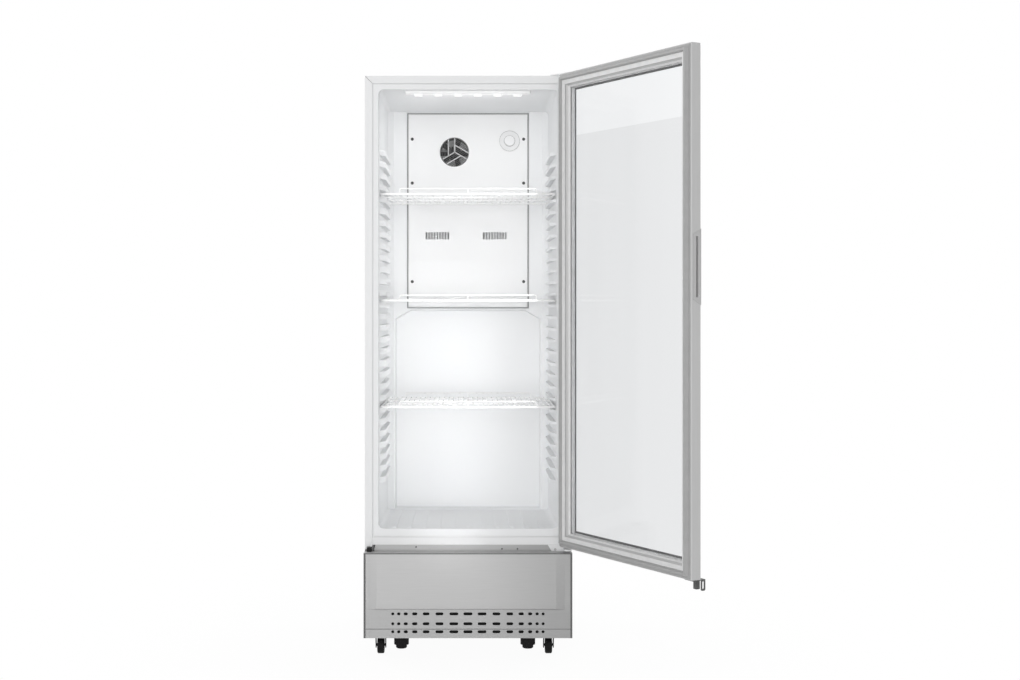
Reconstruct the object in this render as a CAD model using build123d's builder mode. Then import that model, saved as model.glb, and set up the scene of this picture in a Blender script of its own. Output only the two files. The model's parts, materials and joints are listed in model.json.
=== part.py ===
from build123d import *
import math
import os

# Upright beverage cooler with one glass door, in millimetres.
# +X is the viewer's right, +Y goes into the cabin, +Z is up. The origin is on the floor,
# under the centre of the cabinet. The door is drawn swung open, the shelves pushed in.

os.makedirs("parts", exist_ok=True)

# Cabinet
body_width = 600.0
body_depth = 550.0
top_z = 1690.0
shell_foot_z = 66.0
machine_height = 260.0      # room for the cooling unit under the cabin
cabinet_bottom_z = shell_foot_z + machine_height
half_width = body_width / 2
sheet = 1.0                 # folded steel of shell, rails and panels
flange_width = 22.0         # steel flange round the front
flange_foot_z = cabinet_bottom_z - 13.0
seam_gap = 3.0              # groove between steel flange and liner flange

# Cabin liner
side_wall = 39.25           # from the cabinet's side to the opening
front_sill = 46.5
front_lintel = 40.0
opening_width = body_width - 2 * side_wall
opening_bottom_z = cabinet_bottom_z + front_sill
opening_top_z = top_z - front_lintel
opening_radius = 15.0
liner_wall = 3.0
chamber_depth = 60.0        # evaporator chamber behind the cabin's rear wall
rear_foam = 31.0
cabin_depth = body_depth - sheet - rear_foam - liner_wall - chamber_depth
side_draft = 3.0            # the cabin narrows by this on each side
ceiling_drop = 5.0
floor_drop = 8.5
corner_chamfer = 18.0
flange_step = 3.0
mitre_seam = 1.6            # the flange's pieces meet at 45 degrees in the top corners
mitre_depth = 0.6

# Shelf ribs and floor ridges
rib_pitch = 34.6
rib_height = 17.0
rib_reach = 16.75           # from the opening's edge to the ribs' inner faces
rib_inner_x = opening_width / 2 - rib_reach
rib_front = 52.0
rib_back = cabin_depth - 47.0
rib_slant = 45.0
rib_draft = 8.0             # angle of a rib's upper and lower faces
first_rib_z = opening_top_z - 176.0         # centre of the highest rib
lowest_rib_z = opening_bottom_z + 125.0
rib_count = 1 + int((first_rib_z - lowest_rib_z) / rib_pitch)
ridge_pitch = 43.0
ridge_width = 12.0
ridge_height = 3.0
ridge_front = 20.0
ridge_back = cabin_depth - 17.0
ridge_slope = 8.0
ridge_count = int((2 * rib_inner_x - ridge_width) / ridge_pitch)

# Rear wall
cover_half_width = opening_width / 2 - 68.75
cover_groove = 5.0
cover_height = 621.0
cover_top_z = opening_top_z - 13.0
cover_bottom_z = cover_top_z - cover_height
ledge_depth = 6.0
chamber_margin = 9.0
recess_half_width = opening_width / 2 - 25.75
recess_bottom_z = opening_bottom_z - 6.5
recess_top_z = cover_bottom_z - 8.0
recess_depth = 20.0
recess_draft = 12.0         # angle of the recess's sides
recess_corner_x = 50.0
recess_corner_z = 30.0
duct_width = 29.0           # flat raised duct on the lower rear wall
duct_height = 3.0
duct_x = -0.25 * opening_width
duct_bottom_z = opening_bottom_z + 9.5

# Fan guard, thermostat, vents and screws on the evaporator cover
fan_x = -43.6
fan_z = cover_top_z - 122.0
guard_radius = 47.2
guard_thickness = 3.0
slat_pitch = 5.0
slat_width = 1.2
spoke_width = 3.4
knob_x = cover_half_width - 58.2
knob_z = cover_top_z - 86.0
dish_radius = 33.5
knob_radius = 16.4
knob_shaft_radius = 3.0
vent_centres_x = (-98.7, 86.6)
vent_z = cover_top_z - 391.4
vent_slots = 9
vent_pitch = 8.8
vent_slot_width = 5.0
vent_height = 24.0
cover_screw_x = cover_half_width - 12.5
cover_screw_levels = (cover_top_z - 80.0, cover_top_z - 221.5, cover_top_z - 539.0)
cover_screw_radius = 3.4

# Lamp
lamp_half_width = opening_width / 2 - 77.75
lamp_front = 18.0
lamp_depth = 26.0
lamp_height = 9.5
lens_count = 6
lens_pitch = 2 * lamp_half_width / (lens_count + 0.31)
lens_length = 25.7
lens_height = 5.0

# Shelves
shelf_half_width = opening_width / 2 - 3.75
shelf_front = 22.0
shelf_back = cabin_depth - 25.0
shelf_bar_radius = 3.2
shelf_cross_radius = 2.5
shelf_wire_radius = 1.5
shelf_rail_radius = 1.9
shelf_wire_pitch = 15.0
shelf_rail_height = 16.0
shelf_rail_half_width = shelf_half_width - 57.0
shelf_ribs = {
    "shelf_upper": round(0.14 * rib_count),
    "shelf_middle": round(0.45 * rib_count),
    "shelf_lower": round(0.76 * rib_count),
}

# Door
door_open_angle = 120.0
door_thickness = 31.5
gasket_height = 11.7
door_clearance = 0.3
door_gap = gasket_height + door_clearance   # from the cabinet's front to the door frame
hinge_inset = 12.4          # hinge axis in from the door's edge
hinge_depth = 31.4          # hinge axis in front of the cabinet
frame_face = 30.0
frame_sight = 42.0          # edge to visible glass
frame_wall = 2.0
frame_lip = 1.2
frame_rebate = 1.5          # the pane's edge runs this far behind the frame's face
frame_round = 1.5
pane = 4.0
glass_gap = 11.8
spacer_width = 9.0
pin_radius = 4.0
pin_clearance = 0.07

# Edge grip and hasp
grip_z = cabinet_bottom_z + 795.0
grip_short = 164.0
grip_long = 194.0
grip_width = 26.0
grip_proud = 1.5
grip_recess = 15.0
slot_length = 156.0
slot_width = 6.5
hasp_drop = 29.0
hasp_reach = 13.5
hasp_pitch = 26.0
hasp_sheet = 2.5
hasp_eye_length = 20.0
hasp_eye_width = 6.0
hasp_block = 10.0

# Kick plate
kick_bottom_z = shell_foot_z - 2.0
kick_top_z = cabinet_bottom_z - 17.5
kick_front = door_gap + door_thickness      # flush with the shut door
kick_sheet = 1.5
kick_return = 6.0
panel_left_x = -half_width + 37.0
panel_right_x = half_width - 46.5
panel_bottom_z = kick_bottom_z + 85.6
panel_raise_top = 0.2       # the pressed panel stands out more towards its lower edge
panel_raise_foot = 7.0
panel_bevel = 26.0
panel_foot_bevel = 3.5
vent_row_levels = (kick_bottom_z + 70.0, kick_bottom_z + 41.5, kick_bottom_z + 18.5)
vent_columns_each_side = 7
vent_long = 26.2            # the middle vents are the longest and stand furthest apart
vent_short = 8.6
vent_wide_pitch = 0.0805 * (panel_right_x - panel_left_x)
vent_close_pitch = 0.0329 * (panel_right_x - panel_left_x)
vent_pitch_start = 0.1      # shares of a row's half: where the pitch starts to fall, and how far on it ends
vent_pitch_fall = 0.8
vent_row_height = 8.4
crease_z = kick_bottom_z + 26.0
crease_width = 2.4
crease_depth = 1.0

# Base and wheels
tray_z = shell_foot_z + 4.0
tray_flange = 25.0
wheel_radius = 25.0
wheel_width = 20.0
caster_fork_width = 31.0
caster_cheek = 2.5
caster_trail = 15.0
axle_radius = 4.0
axle_clearance = 0.06
stem_radius = 5.0
caster_plate = 3.0
caster_half_pitch = half_width - 54.0
caster_row_x = -9.6         # the row of wheels sits a little left of centre
front_caster_depth = 30.0
rear_caster_depth = body_depth - 60.0
foot_half_pitch = caster_half_pitch - 61.5
foot_depth = 20.0
foot_raised = 22.0
foot_pad_radius = 16.0
foot_collar_radius = 21.5

# Derived places
front_y = -body_depth / 2
back_y = body_depth / 2
hinge_x = half_width - hinge_inset
hinge_y = front_y - hinge_depth
door_bottom_z = cabinet_bottom_z
door_top_z = top_z - door_clearance
door_inner = hinge_depth - door_gap          # inner face, measured from the hinge axis
door_outer = door_inner - door_thickness


def depth(d):
    """Y of a place that lies d behind the cabinet's front plane."""
    return front_y + d


def facing_front(d):
    """Upright plane at depth d, drawn in X and Z, whose normal points at the viewer."""
    return Plane.XZ.offset(-depth(d))


def side_plane(x):
    """Upright plane across the cabinet at x, drawn in Y and Z."""
    return Plane.YZ.offset(x)


def wall_x(d):
    """Half width of the cabin at depth d."""
    return opening_width / 2 - side_draft * d / cabin_depth


def floor_z(d):
    return opening_bottom_z - floor_drop * d / cabin_depth


def ceiling_z(d):
    return opening_top_z - ceiling_drop * d / cabin_depth


def rib_z(k):
    return first_rib_z - k * rib_pitch


def graded(large, small, share):
    """Size that eases from large to small while share goes from 0 to 1."""
    return small + (large - small) * math.cos(math.pi / 2 * share) ** 2


hinge_frame = Location((hinge_x, hinge_y, 0), (0, 0, door_open_angle))


def on_door(plane):
    """The plane carried to the open door. Drawn from the hinge axis, closed door along -X."""
    return Plane(hinge_frame * plane.location)


def block(x0, x1, y0, y1, z0, z1, mode=Mode.ADD):
    """Box between two corners, for use inside a part block."""
    with Locations(((x0 + x1) / 2, (y0 + y1) / 2, (z0 + z1) / 2)):
        Box(x1 - x0, y1 - y0, z1 - z0, mode=mode)


# Cabin void, and the same shape grown by the liner's wall
def cabin_shape(grow):
    front_height = opening_top_z - opening_bottom_z
    rear_height = front_height - ceiling_drop + floor_drop
    middle_z = (opening_top_z + opening_bottom_z) / 2
    rear_shift = -(ceiling_drop + floor_drop) / 2
    rear_width = opening_width - 2 * side_draft
    with BuildPart() as shape:
        with BuildSketch(facing_front(0)):
            with Locations((0, middle_z)):
                RectangleRounded(opening_width + 2 * grow, front_height + 2 * grow, opening_radius)
        with BuildSketch(facing_front(cabin_depth + grow)):
            with Locations((0, middle_z + rear_shift)):
                RectangleRounded(rear_width + 2 * grow, rear_height + 2 * grow, opening_radius)
        loft()
        if grow == 0:
            for side in (-1, 1):
                with BuildSketch(Plane.XY.offset(floor_z(cabin_depth) - 1)):
                    corner = (side * wall_x(cabin_depth), depth(cabin_depth))
                    with BuildLine():
                        Polyline(
                            (corner[0] + side * 2, corner[1] + 2),
                            (corner[0] - side * (corner_chamfer + 2), corner[1] + 2),
                            (corner[0] + side * 2, corner[1] - corner_chamfer - 2),
                            close=True,
                        )
                    make_face()
                extrude(amount=rear_height + 2, mode=Mode.SUBTRACT)
        # Ledge for the evaporator cover, and the chamber behind it
        ledge_x = cover_half_width + cover_groove + grow
        block(-ledge_x, ledge_x, depth(cabin_depth - 1), depth(cabin_depth + ledge_depth + grow),
              cover_bottom_z - cover_groove - grow, cover_top_z + cover_groove + grow)
        chamber_x = cover_half_width - chamber_margin + grow
        block(-chamber_x, chamber_x, depth(cabin_depth), depth(cabin_depth + chamber_depth + grow),
              cover_bottom_z + chamber_margin - grow, cover_top_z - chamber_margin + grow)
        # Lower recess with cut top corners
        with BuildSketch(facing_front(cabin_depth - 1)):
            right = recess_half_width + grow
            with BuildLine():
                Polyline(
                    (-right, recess_bottom_z - grow),
                    (right, recess_bottom_z - grow),
                    (right, recess_top_z - recess_corner_z + grow),
                    (right - recess_corner_x, recess_top_z + grow),
                    (-right + recess_corner_x, recess_top_z + grow),
                    (-right, recess_top_z - recess_corner_z + grow),
                    close=True,
                )
            make_face()
        extrude(amount=-(recess_depth + 1 + grow), taper=recess_draft)
    return shape.part


cabin_void = cabin_shape(0)
cabin_skin = cabin_shape(liner_wall)

# Outer shell: steel wrap over both sides and the top, with front and rear flanges
shell_height = top_z - shell_foot_z
with BuildPart() as outer_shell:
    with BuildSketch(facing_front(0)):
        with Locations((0, shell_foot_z)):
            Rectangle(body_width, shell_height, align=(Align.CENTER, Align.MIN))
            Rectangle(body_width - 2 * sheet, shell_height - sheet,
                      align=(Align.CENTER, Align.MIN), mode=Mode.SUBTRACT)
    extrude(amount=-body_depth)
    top_edges = outer_shell.edges().filter_by(Axis.Y).group_by(Axis.Z)[-1]
    fillet(top_edges, 0.9 * sheet)
    with BuildSketch(facing_front(0)):
        with Locations((0, flange_foot_z)):
            Rectangle(body_width - sheet, top_z - flange_foot_z - sheet / 2,
                      align=(Align.CENTER, Align.MIN))
            Rectangle(body_width - 2 * flange_width, top_z - flange_foot_z - flange_width,
                      align=(Align.CENTER, Align.MIN), mode=Mode.SUBTRACT)
    extrude(amount=-sheet)
    with BuildSketch(facing_front(0)):
        for side in (-1, 1):
            corner_x = side * (half_width - flange_width / 2)
            with Locations(Location((corner_x, top_z - flange_width / 2, 0), (0, 0, side * 45))):
                Rectangle(math.sqrt(2) * flange_width - 4 * mitre_depth, mitre_seam)
    extrude(amount=-mitre_depth, mode=Mode.SUBTRACT)
outer_shell.part.label = "outer_shell"
export_step(outer_shell.part, "parts/outer_shell.step")

# Inner liner: cabin skin with its flange, shelf ribs and floor ridges
liner_border_x = half_width - flange_width - seam_gap
liner_border_top = top_z - flange_width - seam_gap
rail_top_z = cabinet_bottom_z + flange_width
liner_border_bottom = rail_top_z + seam_gap

with BuildPart() as rib_pair:
    for side in (-1, 1):
        with BuildSketch(Plane.XY):
            with BuildLine():
                Polyline(
                    (side * (wall_x(rib_front) + liner_wall / 2), depth(rib_front)),
                    (side * rib_inner_x, depth(rib_front + rib_slant)),
                    (side * rib_inner_x, depth(rib_back - rib_slant)),
                    (side * (wall_x(rib_back) + liner_wall / 2), depth(rib_back)),
                    close=True,
                )
            make_face()
        extrude(amount=rib_height / 2, both=True, taper=rib_draft)

with BuildPart() as inner_liner:
    add(cabin_skin)
    with BuildSketch(facing_front(flange_step)):
        with Locations((0, (top_z + cabinet_bottom_z) / 2)):
            Rectangle(body_width - 4 * sheet, top_z - cabinet_bottom_z - 4 * sheet)
    extrude(amount=-flange_step)
    with BuildSketch(facing_front(0)):
        with Locations((0, (liner_border_top + liner_border_bottom) / 2)):
            Rectangle(2 * liner_border_x, liner_border_top - liner_border_bottom)
    extrude(amount=-2 * flange_step)
    add(cabin_void, mode=Mode.SUBTRACT)
    with Locations(*[(0, 0, rib_z(k)) for k in range(rib_count)]):
        add(rib_pair.part)
    for k in range(ridge_count):
        ridge_x = (k - (ridge_count - 1) / 2) * ridge_pitch
        with BuildSketch(side_plane(ridge_x)):
            with BuildLine():
                Polyline(
                    (depth(ridge_front), floor_z(ridge_front) - liner_wall / 2),
                    (depth(ridge_front + ridge_slope), floor_z(ridge_front) + ridge_height),
                    (depth(ridge_back - ridge_slope), floor_z(ridge_back) + ridge_height),
                    (depth(ridge_back), floor_z(ridge_back) - liner_wall / 2),
                    close=True,
                )
            make_face()
        extrude(amount=ridge_width / 2, both=True)
    duct_top_z = recess_top_z + 1 - (recess_depth + 1) * math.tan(math.radians(recess_draft))
    block(duct_x - duct_width / 2, duct_x + duct_width / 2,
          depth(cabin_depth + recess_depth - duct_height), depth(cabin_depth + recess_depth + 1),
          duct_bottom_z, duct_top_z)
drain_x = 0.0
drain_depth = cabin_depth + chamber_depth - 10.0
drain_radius = 9.0
drain_bore = 6.5
chamber_floor_z = cover_bottom_z + chamber_margin
with BuildPart() as drain_mouth:
    with BuildSketch(Plane.XY.offset(chamber_floor_z - 2 * liner_wall)):
        with Locations((drain_x, depth(drain_depth))):
            Circle(drain_bore)
    extrude(amount=3 * liner_wall)
inner_liner.part = inner_liner.part - drain_mouth.part
inner_liner.part.label = "inner_liner"
export_step(inner_liner.part, "parts/inner_liner.step")

# Foam between shell and liner
foam_front = 2 * flange_step
foam_bottom_z = cabinet_bottom_z + sheet
with BuildPart() as insulation_foam:
    block(-half_width + sheet, half_width - sheet, depth(foam_front), back_y - sheet,
          foam_bottom_z, top_z - sheet)
    add(cabin_skin, mode=Mode.SUBTRACT)
    with BuildSketch(Plane.XY.offset(foam_bottom_z)):
        with Locations((drain_x, depth(drain_depth))):
            Circle(drain_radius)
    extrude(amount=chamber_floor_z - liner_wall - foam_bottom_z, mode=Mode.SUBTRACT)
insulation_foam.part.label = "insulation_foam"
export_step(insulation_foam.part, "parts/insulation_foam.step")

# Bottom panel under the foam, folded up at the front as the white rail
with BuildPart() as bottom_panel:
    block(-half_width + sheet, half_width - sheet, depth(sheet), back_y - sheet,
          cabinet_bottom_z, cabinet_bottom_z + sheet)
    rail_x = half_width - flange_width - 0.5
    block(-rail_x, rail_x, depth(0), depth(sheet), cabinet_bottom_z, rail_top_z)
    with Locations((drain_x, depth(drain_depth), cabinet_bottom_z)):
        Cylinder(drain_radius, 4 * sheet, mode=Mode.SUBTRACT)
bottom_panel.part.label = "bottom_panel"
export_step(bottom_panel.part, "parts/bottom_panel.step")

# Back panel with three pressed swages
swage_margin = 107.0
swage_width = 30.0
swage_height = 1.5
with BuildPart() as back_panel:
    block(-half_width + sheet, half_width - sheet, back_y - sheet, back_y,
          cabinet_bottom_z, top_z - sheet)
    with BuildSketch(Plane.XZ.offset(-back_y)):
        with Locations((0, (top_z + cabinet_bottom_z) / 2)):
            with GridLocations(0.3 * body_width, 1, 3, 1):
                SlotOverall(top_z - cabinet_bottom_z - 2 * swage_margin, swage_width, rotation=90)
    extrude(amount=-swage_height, taper=30)
back_panel.part.label = "back_panel"
export_step(back_panel.part, "parts/back_panel.step")

# Drain pipe from the chamber down to the evaporation tray
drain_foot_z = cabinet_bottom_z - 34.0
with BuildPart() as drain_pipe:
    with BuildSketch(Plane.XY.offset(drain_foot_z)):
        with Locations((drain_x, depth(drain_depth))):
            Circle(drain_radius - 0.2)
            Circle(drain_bore, mode=Mode.SUBTRACT)
    extrude(amount=chamber_floor_z - liner_wall - drain_foot_z)
drain_pipe.part.label = "drain_pipe"
export_step(drain_pipe.part, "parts/drain_pipe.step")

# Evaporator cover: shallow tray on the ledge, with fan hole, thermostat hole and vents
cover_plate = 3.0
cover_middle_z = (cover_bottom_z + cover_top_z) / 2
dish_bore = dish_radius - 6.0
with BuildPart() as evaporator_cover:
    with BuildSketch(facing_front(cabin_depth + ledge_depth)):
        with Locations((0, cover_middle_z)):
            Rectangle(2 * cover_half_width, cover_height)
    extrude(amount=ledge_depth)
    fillet(evaporator_cover.faces().sort_by(Axis.Y)[0].edges(), 2.0)
    with BuildSketch(facing_front(cabin_depth + ledge_depth)):
        with Locations((0, cover_middle_z)):
            Rectangle(2 * cover_half_width - 2 * cover_plate, cover_height - 2 * cover_plate)
    extrude(amount=ledge_depth - cover_plate, mode=Mode.SUBTRACT)
    with BuildSketch(facing_front(cabin_depth + ledge_depth)):
        with Locations((fan_x, fan_z)):
            Circle(guard_radius + 0.1)
        with Locations((knob_x, knob_z)):
            Circle(dish_bore)
        for centre_x in vent_centres_x:
            with Locations((centre_x, vent_z)):
                with GridLocations(vent_pitch, 1, vent_slots, 1):
                    SlotOverall(vent_height, vent_slot_width, rotation=90)
        for level in cover_screw_levels:
            with Locations((-cover_screw_x, level), (cover_screw_x, level)):
                Circle(cover_screw_radius / 2)
    extrude(amount=ledge_depth + 1, mode=Mode.SUBTRACT)
evaporator_cover.part.label = "evaporator_cover"
export_step(evaporator_cover.part, "parts/evaporator_cover.step")

# Cover screws: pan heads on the cover
with BuildPart() as cover_screws:
    for level in cover_screw_levels:
        for side in (-1, 1):
            with BuildSketch(facing_front(cabin_depth)):
                with Locations((side * cover_screw_x, level)):
                    Circle(cover_screw_radius)
            extrude(amount=1.2, taper=20)
            with BuildSketch(facing_front(cabin_depth)):
                with Locations((side * cover_screw_x, level)):
                    Circle(cover_screw_radius / 2)
            extrude(amount=-(cover_plate + 2))
cover_screws.part.label = "cover_screws"
export_step(cover_screws.part, "parts/cover_screws.step")

# Fan guard: three sectors of parallel slats, each sector turned by 120 degrees
guard_rim = 2.5
slats_per_sector = int(guard_radius / slat_pitch)
second_spoke = 20.0
guard_plane = Plane((fan_x, depth(cabin_depth + cover_plate), fan_z), x_dir=(1, 0, 0), z_dir=(0, -1, 0))
sector_reach = 2 * guard_radius
with BuildSketch() as guard_sector:
    for k in range(slats_per_sector):
        with Locations((-(k + 0.5) * slat_pitch - slat_width / 2, 0)):
            Rectangle(slat_width, 2 * guard_radius)
    with Locations((-second_spoke, 0)):
        Rectangle(spoke_width, 2 * guard_radius)
    with BuildLine():
        Polyline(
            (0, 0),
            (0, sector_reach),
            (-sector_reach, sector_reach),
            (-sector_reach, -sector_reach * math.tan(math.radians(30))),
            close=True,
        )
    make_face(mode=Mode.INTERSECT)
with BuildSketch() as guard_gaps:
    Circle(guard_radius - guard_rim)
    for turn in (0, 120, 240):
        add(guard_sector.sketch, rotation=turn, mode=Mode.SUBTRACT)
        with Locations(Location((0, 0, 0), (0, 0, turn + 90))):
            Rectangle(guard_radius, spoke_width, align=(Align.MIN, Align.CENTER), mode=Mode.SUBTRACT)
with BuildPart() as fan_guard:
    with BuildSketch(guard_plane):
        Circle(guard_radius)
        add(guard_gaps.sketch, mode=Mode.SUBTRACT)
    extrude(amount=guard_thickness)
fan_guard.part.label = "fan_guard"
export_step(fan_guard.part, "parts/fan_guard.step")

# Thermostat body: round dish on the cover, with its switch box behind
dish_rim = 3.0
dish_hollow = 1.6
switch_width = 50.0
switch_height = 44.0
switch_depth = 28.0
knob_shaft = 18.0
with BuildPart() as thermostat_body:
    with BuildSketch(facing_front(cabin_depth)):
        with Locations((knob_x, knob_z)):
            Circle(dish_radius)
    extrude(amount=dish_rim)
    fillet(thermostat_body.faces().sort_by(Axis.Y)[0].edges(), 1.5)
    with BuildSketch(facing_front(cabin_depth - dish_rim)):
        with Locations((knob_x, knob_z)):
            Circle(dish_radius - 3.5)
    extrude(amount=-dish_hollow, mode=Mode.SUBTRACT)
    with BuildSketch(facing_front(cabin_depth)):
        with Locations((knob_x, knob_z)):
            Circle(dish_bore - 0.1)
    extrude(amount=-(cover_plate + 1))
    with BuildSketch(facing_front(cabin_depth + cover_plate + 1)):
        with Locations((knob_x, knob_z)):
            Rectangle(switch_width, switch_height)
    extrude(amount=-switch_depth)
    with BuildSketch(facing_front(cabin_depth - dish_rim)):
        with Locations((knob_x, knob_z)):
            Circle(knob_shaft_radius + axle_clearance)
    extrude(amount=-(knob_shaft + dish_rim), mode=Mode.SUBTRACT)
thermostat_body.part.label = "thermostat_body"
export_step(thermostat_body.part, "parts/thermostat_body.step")

# Thermostat knob with finger grooves, a pointer rib and a shaft
knob_gap = 0.4
knob_height = 9.0
knob_back = cabin_depth - dish_rim + dish_hollow - knob_gap
knob_plane = Plane((knob_x, depth(knob_back), knob_z), x_dir=(1, 0, 0), z_dir=(0, -1, 0))
with BuildPart() as thermostat_knob:
    with BuildSketch(knob_plane):
        Circle(knob_radius)
        with PolarLocations(knob_radius + 1.2, 12):
            Circle(2.4, mode=Mode.SUBTRACT)
    extrude(amount=knob_height)
    with BuildSketch(knob_plane.offset(knob_height)):
        with Locations((0, knob_radius / 2)):
            SlotOverall(knob_radius * 0.7, 2.4, rotation=90)
    extrude(amount=0.8)
    with BuildSketch(knob_plane):
        Circle(knob_shaft_radius)
    extrude(amount=-knob_shaft)
thermostat_knob.part.label = "thermostat_knob"
export_step(thermostat_knob.part, "parts/thermostat_knob.step")

# Evaporator coil: fins on four straight tubes, between two end plates
coil_half_width = cover_half_width - 27.0
coil_bottom_z = cover_bottom_z + 34.0
coil_top_z = coil_bottom_z + 360.0
coil_front = cabin_depth + 16.0
coil_back = cabin_depth + chamber_depth - 8.0
coil_tubes = 4
coil_tube_radius = 4.5
fin_pitch = 22.0
fin_thickness = 1.0


def finned_coil(x0, x1, d0, d1, z0, z1, plate_d, plate_z):
    """Row of fins between two end plates that reach plate_d behind and plate_z below."""
    with BuildPart() as coil:
        fins = int((x1 - x0) / fin_pitch) - 1
        with Locations(((x0 + x1) / 2, (depth(d0) + depth(d1)) / 2, (z0 + z1) / 2)):
            with GridLocations(fin_pitch, 1, fins, 1):
                Box(fin_thickness, d1 - d0, z1 - z0)
        for x in (x0, x1 - 2 * fin_thickness):
            block(x, x + 2 * fin_thickness, depth(d0), depth(plate_d), plate_z, z1)
        with BuildSketch(side_plane(x0 - coil_tube_radius)):
            with Locations(((depth(d0) + depth(d1)) / 2, (z0 + z1) / 2)):
                with GridLocations(1, (z1 - z0) / coil_tubes, 1, coil_tubes):
                    Circle(coil_tube_radius)
        extrude(amount=x1 - x0 + 2 * coil_tube_radius)
    return coil.part


evaporator_coil = finned_coil(-coil_half_width, coil_half_width, coil_front, coil_back,
                              coil_bottom_z, coil_top_z, cabin_depth + chamber_depth, coil_bottom_z)
evaporator_coil.label = "evaporator_coil"
export_step(evaporator_coil, "parts/evaporator_coil.step")

# Fans: a round motor on a strap, and a rotor with pitched blades
rotor_gap = 0.5
fan_shaft_radius = 2.5
fan_shaft = 12.0
strap_height = 14.0
strap_sheet = 2.0
blade_thickness = 1.6
blade_pitch = 50.0          # root of the blade, from the fan's axis
blade_tip_pitch = 65.0


def fan_motor(centre_x, front_d, centre_z, can_radius, can_length, strap, strap_foot_z=None):
    """Motor can with a strap across its back and a bore for the rotor's shaft."""
    back_d = front_d + can_length
    with BuildPart() as motor:
        with BuildSketch(facing_front(front_d)):
            with Locations((centre_x, centre_z)):
                Circle(can_radius)
        extrude(amount=-can_length)
        chamfer(motor.faces().sort_by(Axis.Y)[0].edges(), 1.5)
        block(centre_x - strap / 2, centre_x + strap / 2, depth(back_d - strap_sheet), depth(back_d),
              centre_z - strap_height / 2, centre_z + strap_height / 2)
        if strap_foot_z:
            for side in (-1, 1):
                leg_x = centre_x + side * (strap - strap_height) / 2
                block(leg_x - strap_height / 2, leg_x + strap_height / 2,
                      depth(back_d - strap_sheet), depth(back_d), strap_foot_z, centre_z)
        with BuildSketch(facing_front(front_d)):
            with Locations((centre_x, centre_z)):
                Circle(fan_shaft_radius + axle_clearance)
        extrude(amount=-(fan_shaft + 1), mode=Mode.SUBTRACT)
    return motor.part


def fan_rotor(centre_x, back_d, centre_z, blade_radius, hub_radius, blades, width):
    """Hub with pitched blades that turns about a line along Y."""
    with BuildPart() as rotor:
        with BuildSketch(facing_front(back_d)):
            with Locations((centre_x, centre_z)):
                Circle(hub_radius)
        extrude(amount=width)
        fillet(rotor.faces().sort_by(Axis.Y)[0].edges(), 2.0)
        middle = Vector(centre_x, depth(back_d) - width / 2, centre_z)
        for k in range(blades):
            turn = 2 * math.pi * k / blades
            outward = Vector(math.cos(turn), 0, math.sin(turn))
            root = Plane(middle + outward * 0.8 * hub_radius, x_dir=(0, 1, 0), z_dir=outward)
            with BuildSketch(root):
                Rectangle(blade_thickness, hub_radius, rotation=90 - blade_pitch)
            with BuildSketch(root.offset(blade_radius - 0.8 * hub_radius)):
                Rectangle(blade_thickness, 1.6 * hub_radius, rotation=90 - blade_tip_pitch)
            loft()
        with BuildSketch(facing_front(back_d)):
            with Locations((centre_x, centre_z)):
                Circle(fan_shaft_radius)
        extrude(amount=-fan_shaft)
    return rotor.part


evap_motor_front = cabin_depth + 34.0
evaporator_fan_motor = fan_motor(fan_x, evap_motor_front, fan_z, 22.0, chamber_depth - 34.0, 120.0)
evaporator_fan_motor.label = "evaporator_fan_motor"
export_step(evaporator_fan_motor, "parts/evaporator_fan_motor.step")
evaporator_fan_rotor = fan_rotor(fan_x, evap_motor_front - rotor_gap, fan_z, 42.0, 12.0, 5, 14.0)
evaporator_fan_rotor.label = "evaporator_fan_rotor"
export_step(evaporator_fan_rotor, "parts/evaporator_fan_rotor.step")

# Lamp under the ceiling: housing, and a row of lenses
lamp_back = lamp_front + lamp_depth
lamp_top_z = ceiling_z(lamp_back)
lamp_bottom_z = lamp_top_z - lamp_height
with BuildPart() as lamp_housing:
    block(-lamp_half_width, lamp_half_width, depth(lamp_front), depth(lamp_back), lamp_bottom_z, lamp_top_z)
    fillet(lamp_housing.edges().filter_by(Axis.Z), 4.0)
    chamfer(lamp_housing.faces().sort_by(Axis.Z)[0].edges(), 1.5)
lamp_housing.part.label = "lamp_housing"
export_step(lamp_housing.part, "parts/lamp_housing.step")
with BuildPart() as lamp_lenses:
    with BuildSketch(Plane.XY.offset(lamp_bottom_z)):
        with Locations((0, depth((lamp_front + lamp_back) / 2))):
            with GridLocations(lens_pitch, 1, lens_count, 1):
                RectangleRounded(lens_length, lamp_depth - 8, 5)
    extrude(amount=-lens_height, taper=18)
lamp_lenses.part.label = "lamp_lenses"
export_step(lamp_lenses.part, "parts/lamp_lenses.step")


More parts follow.
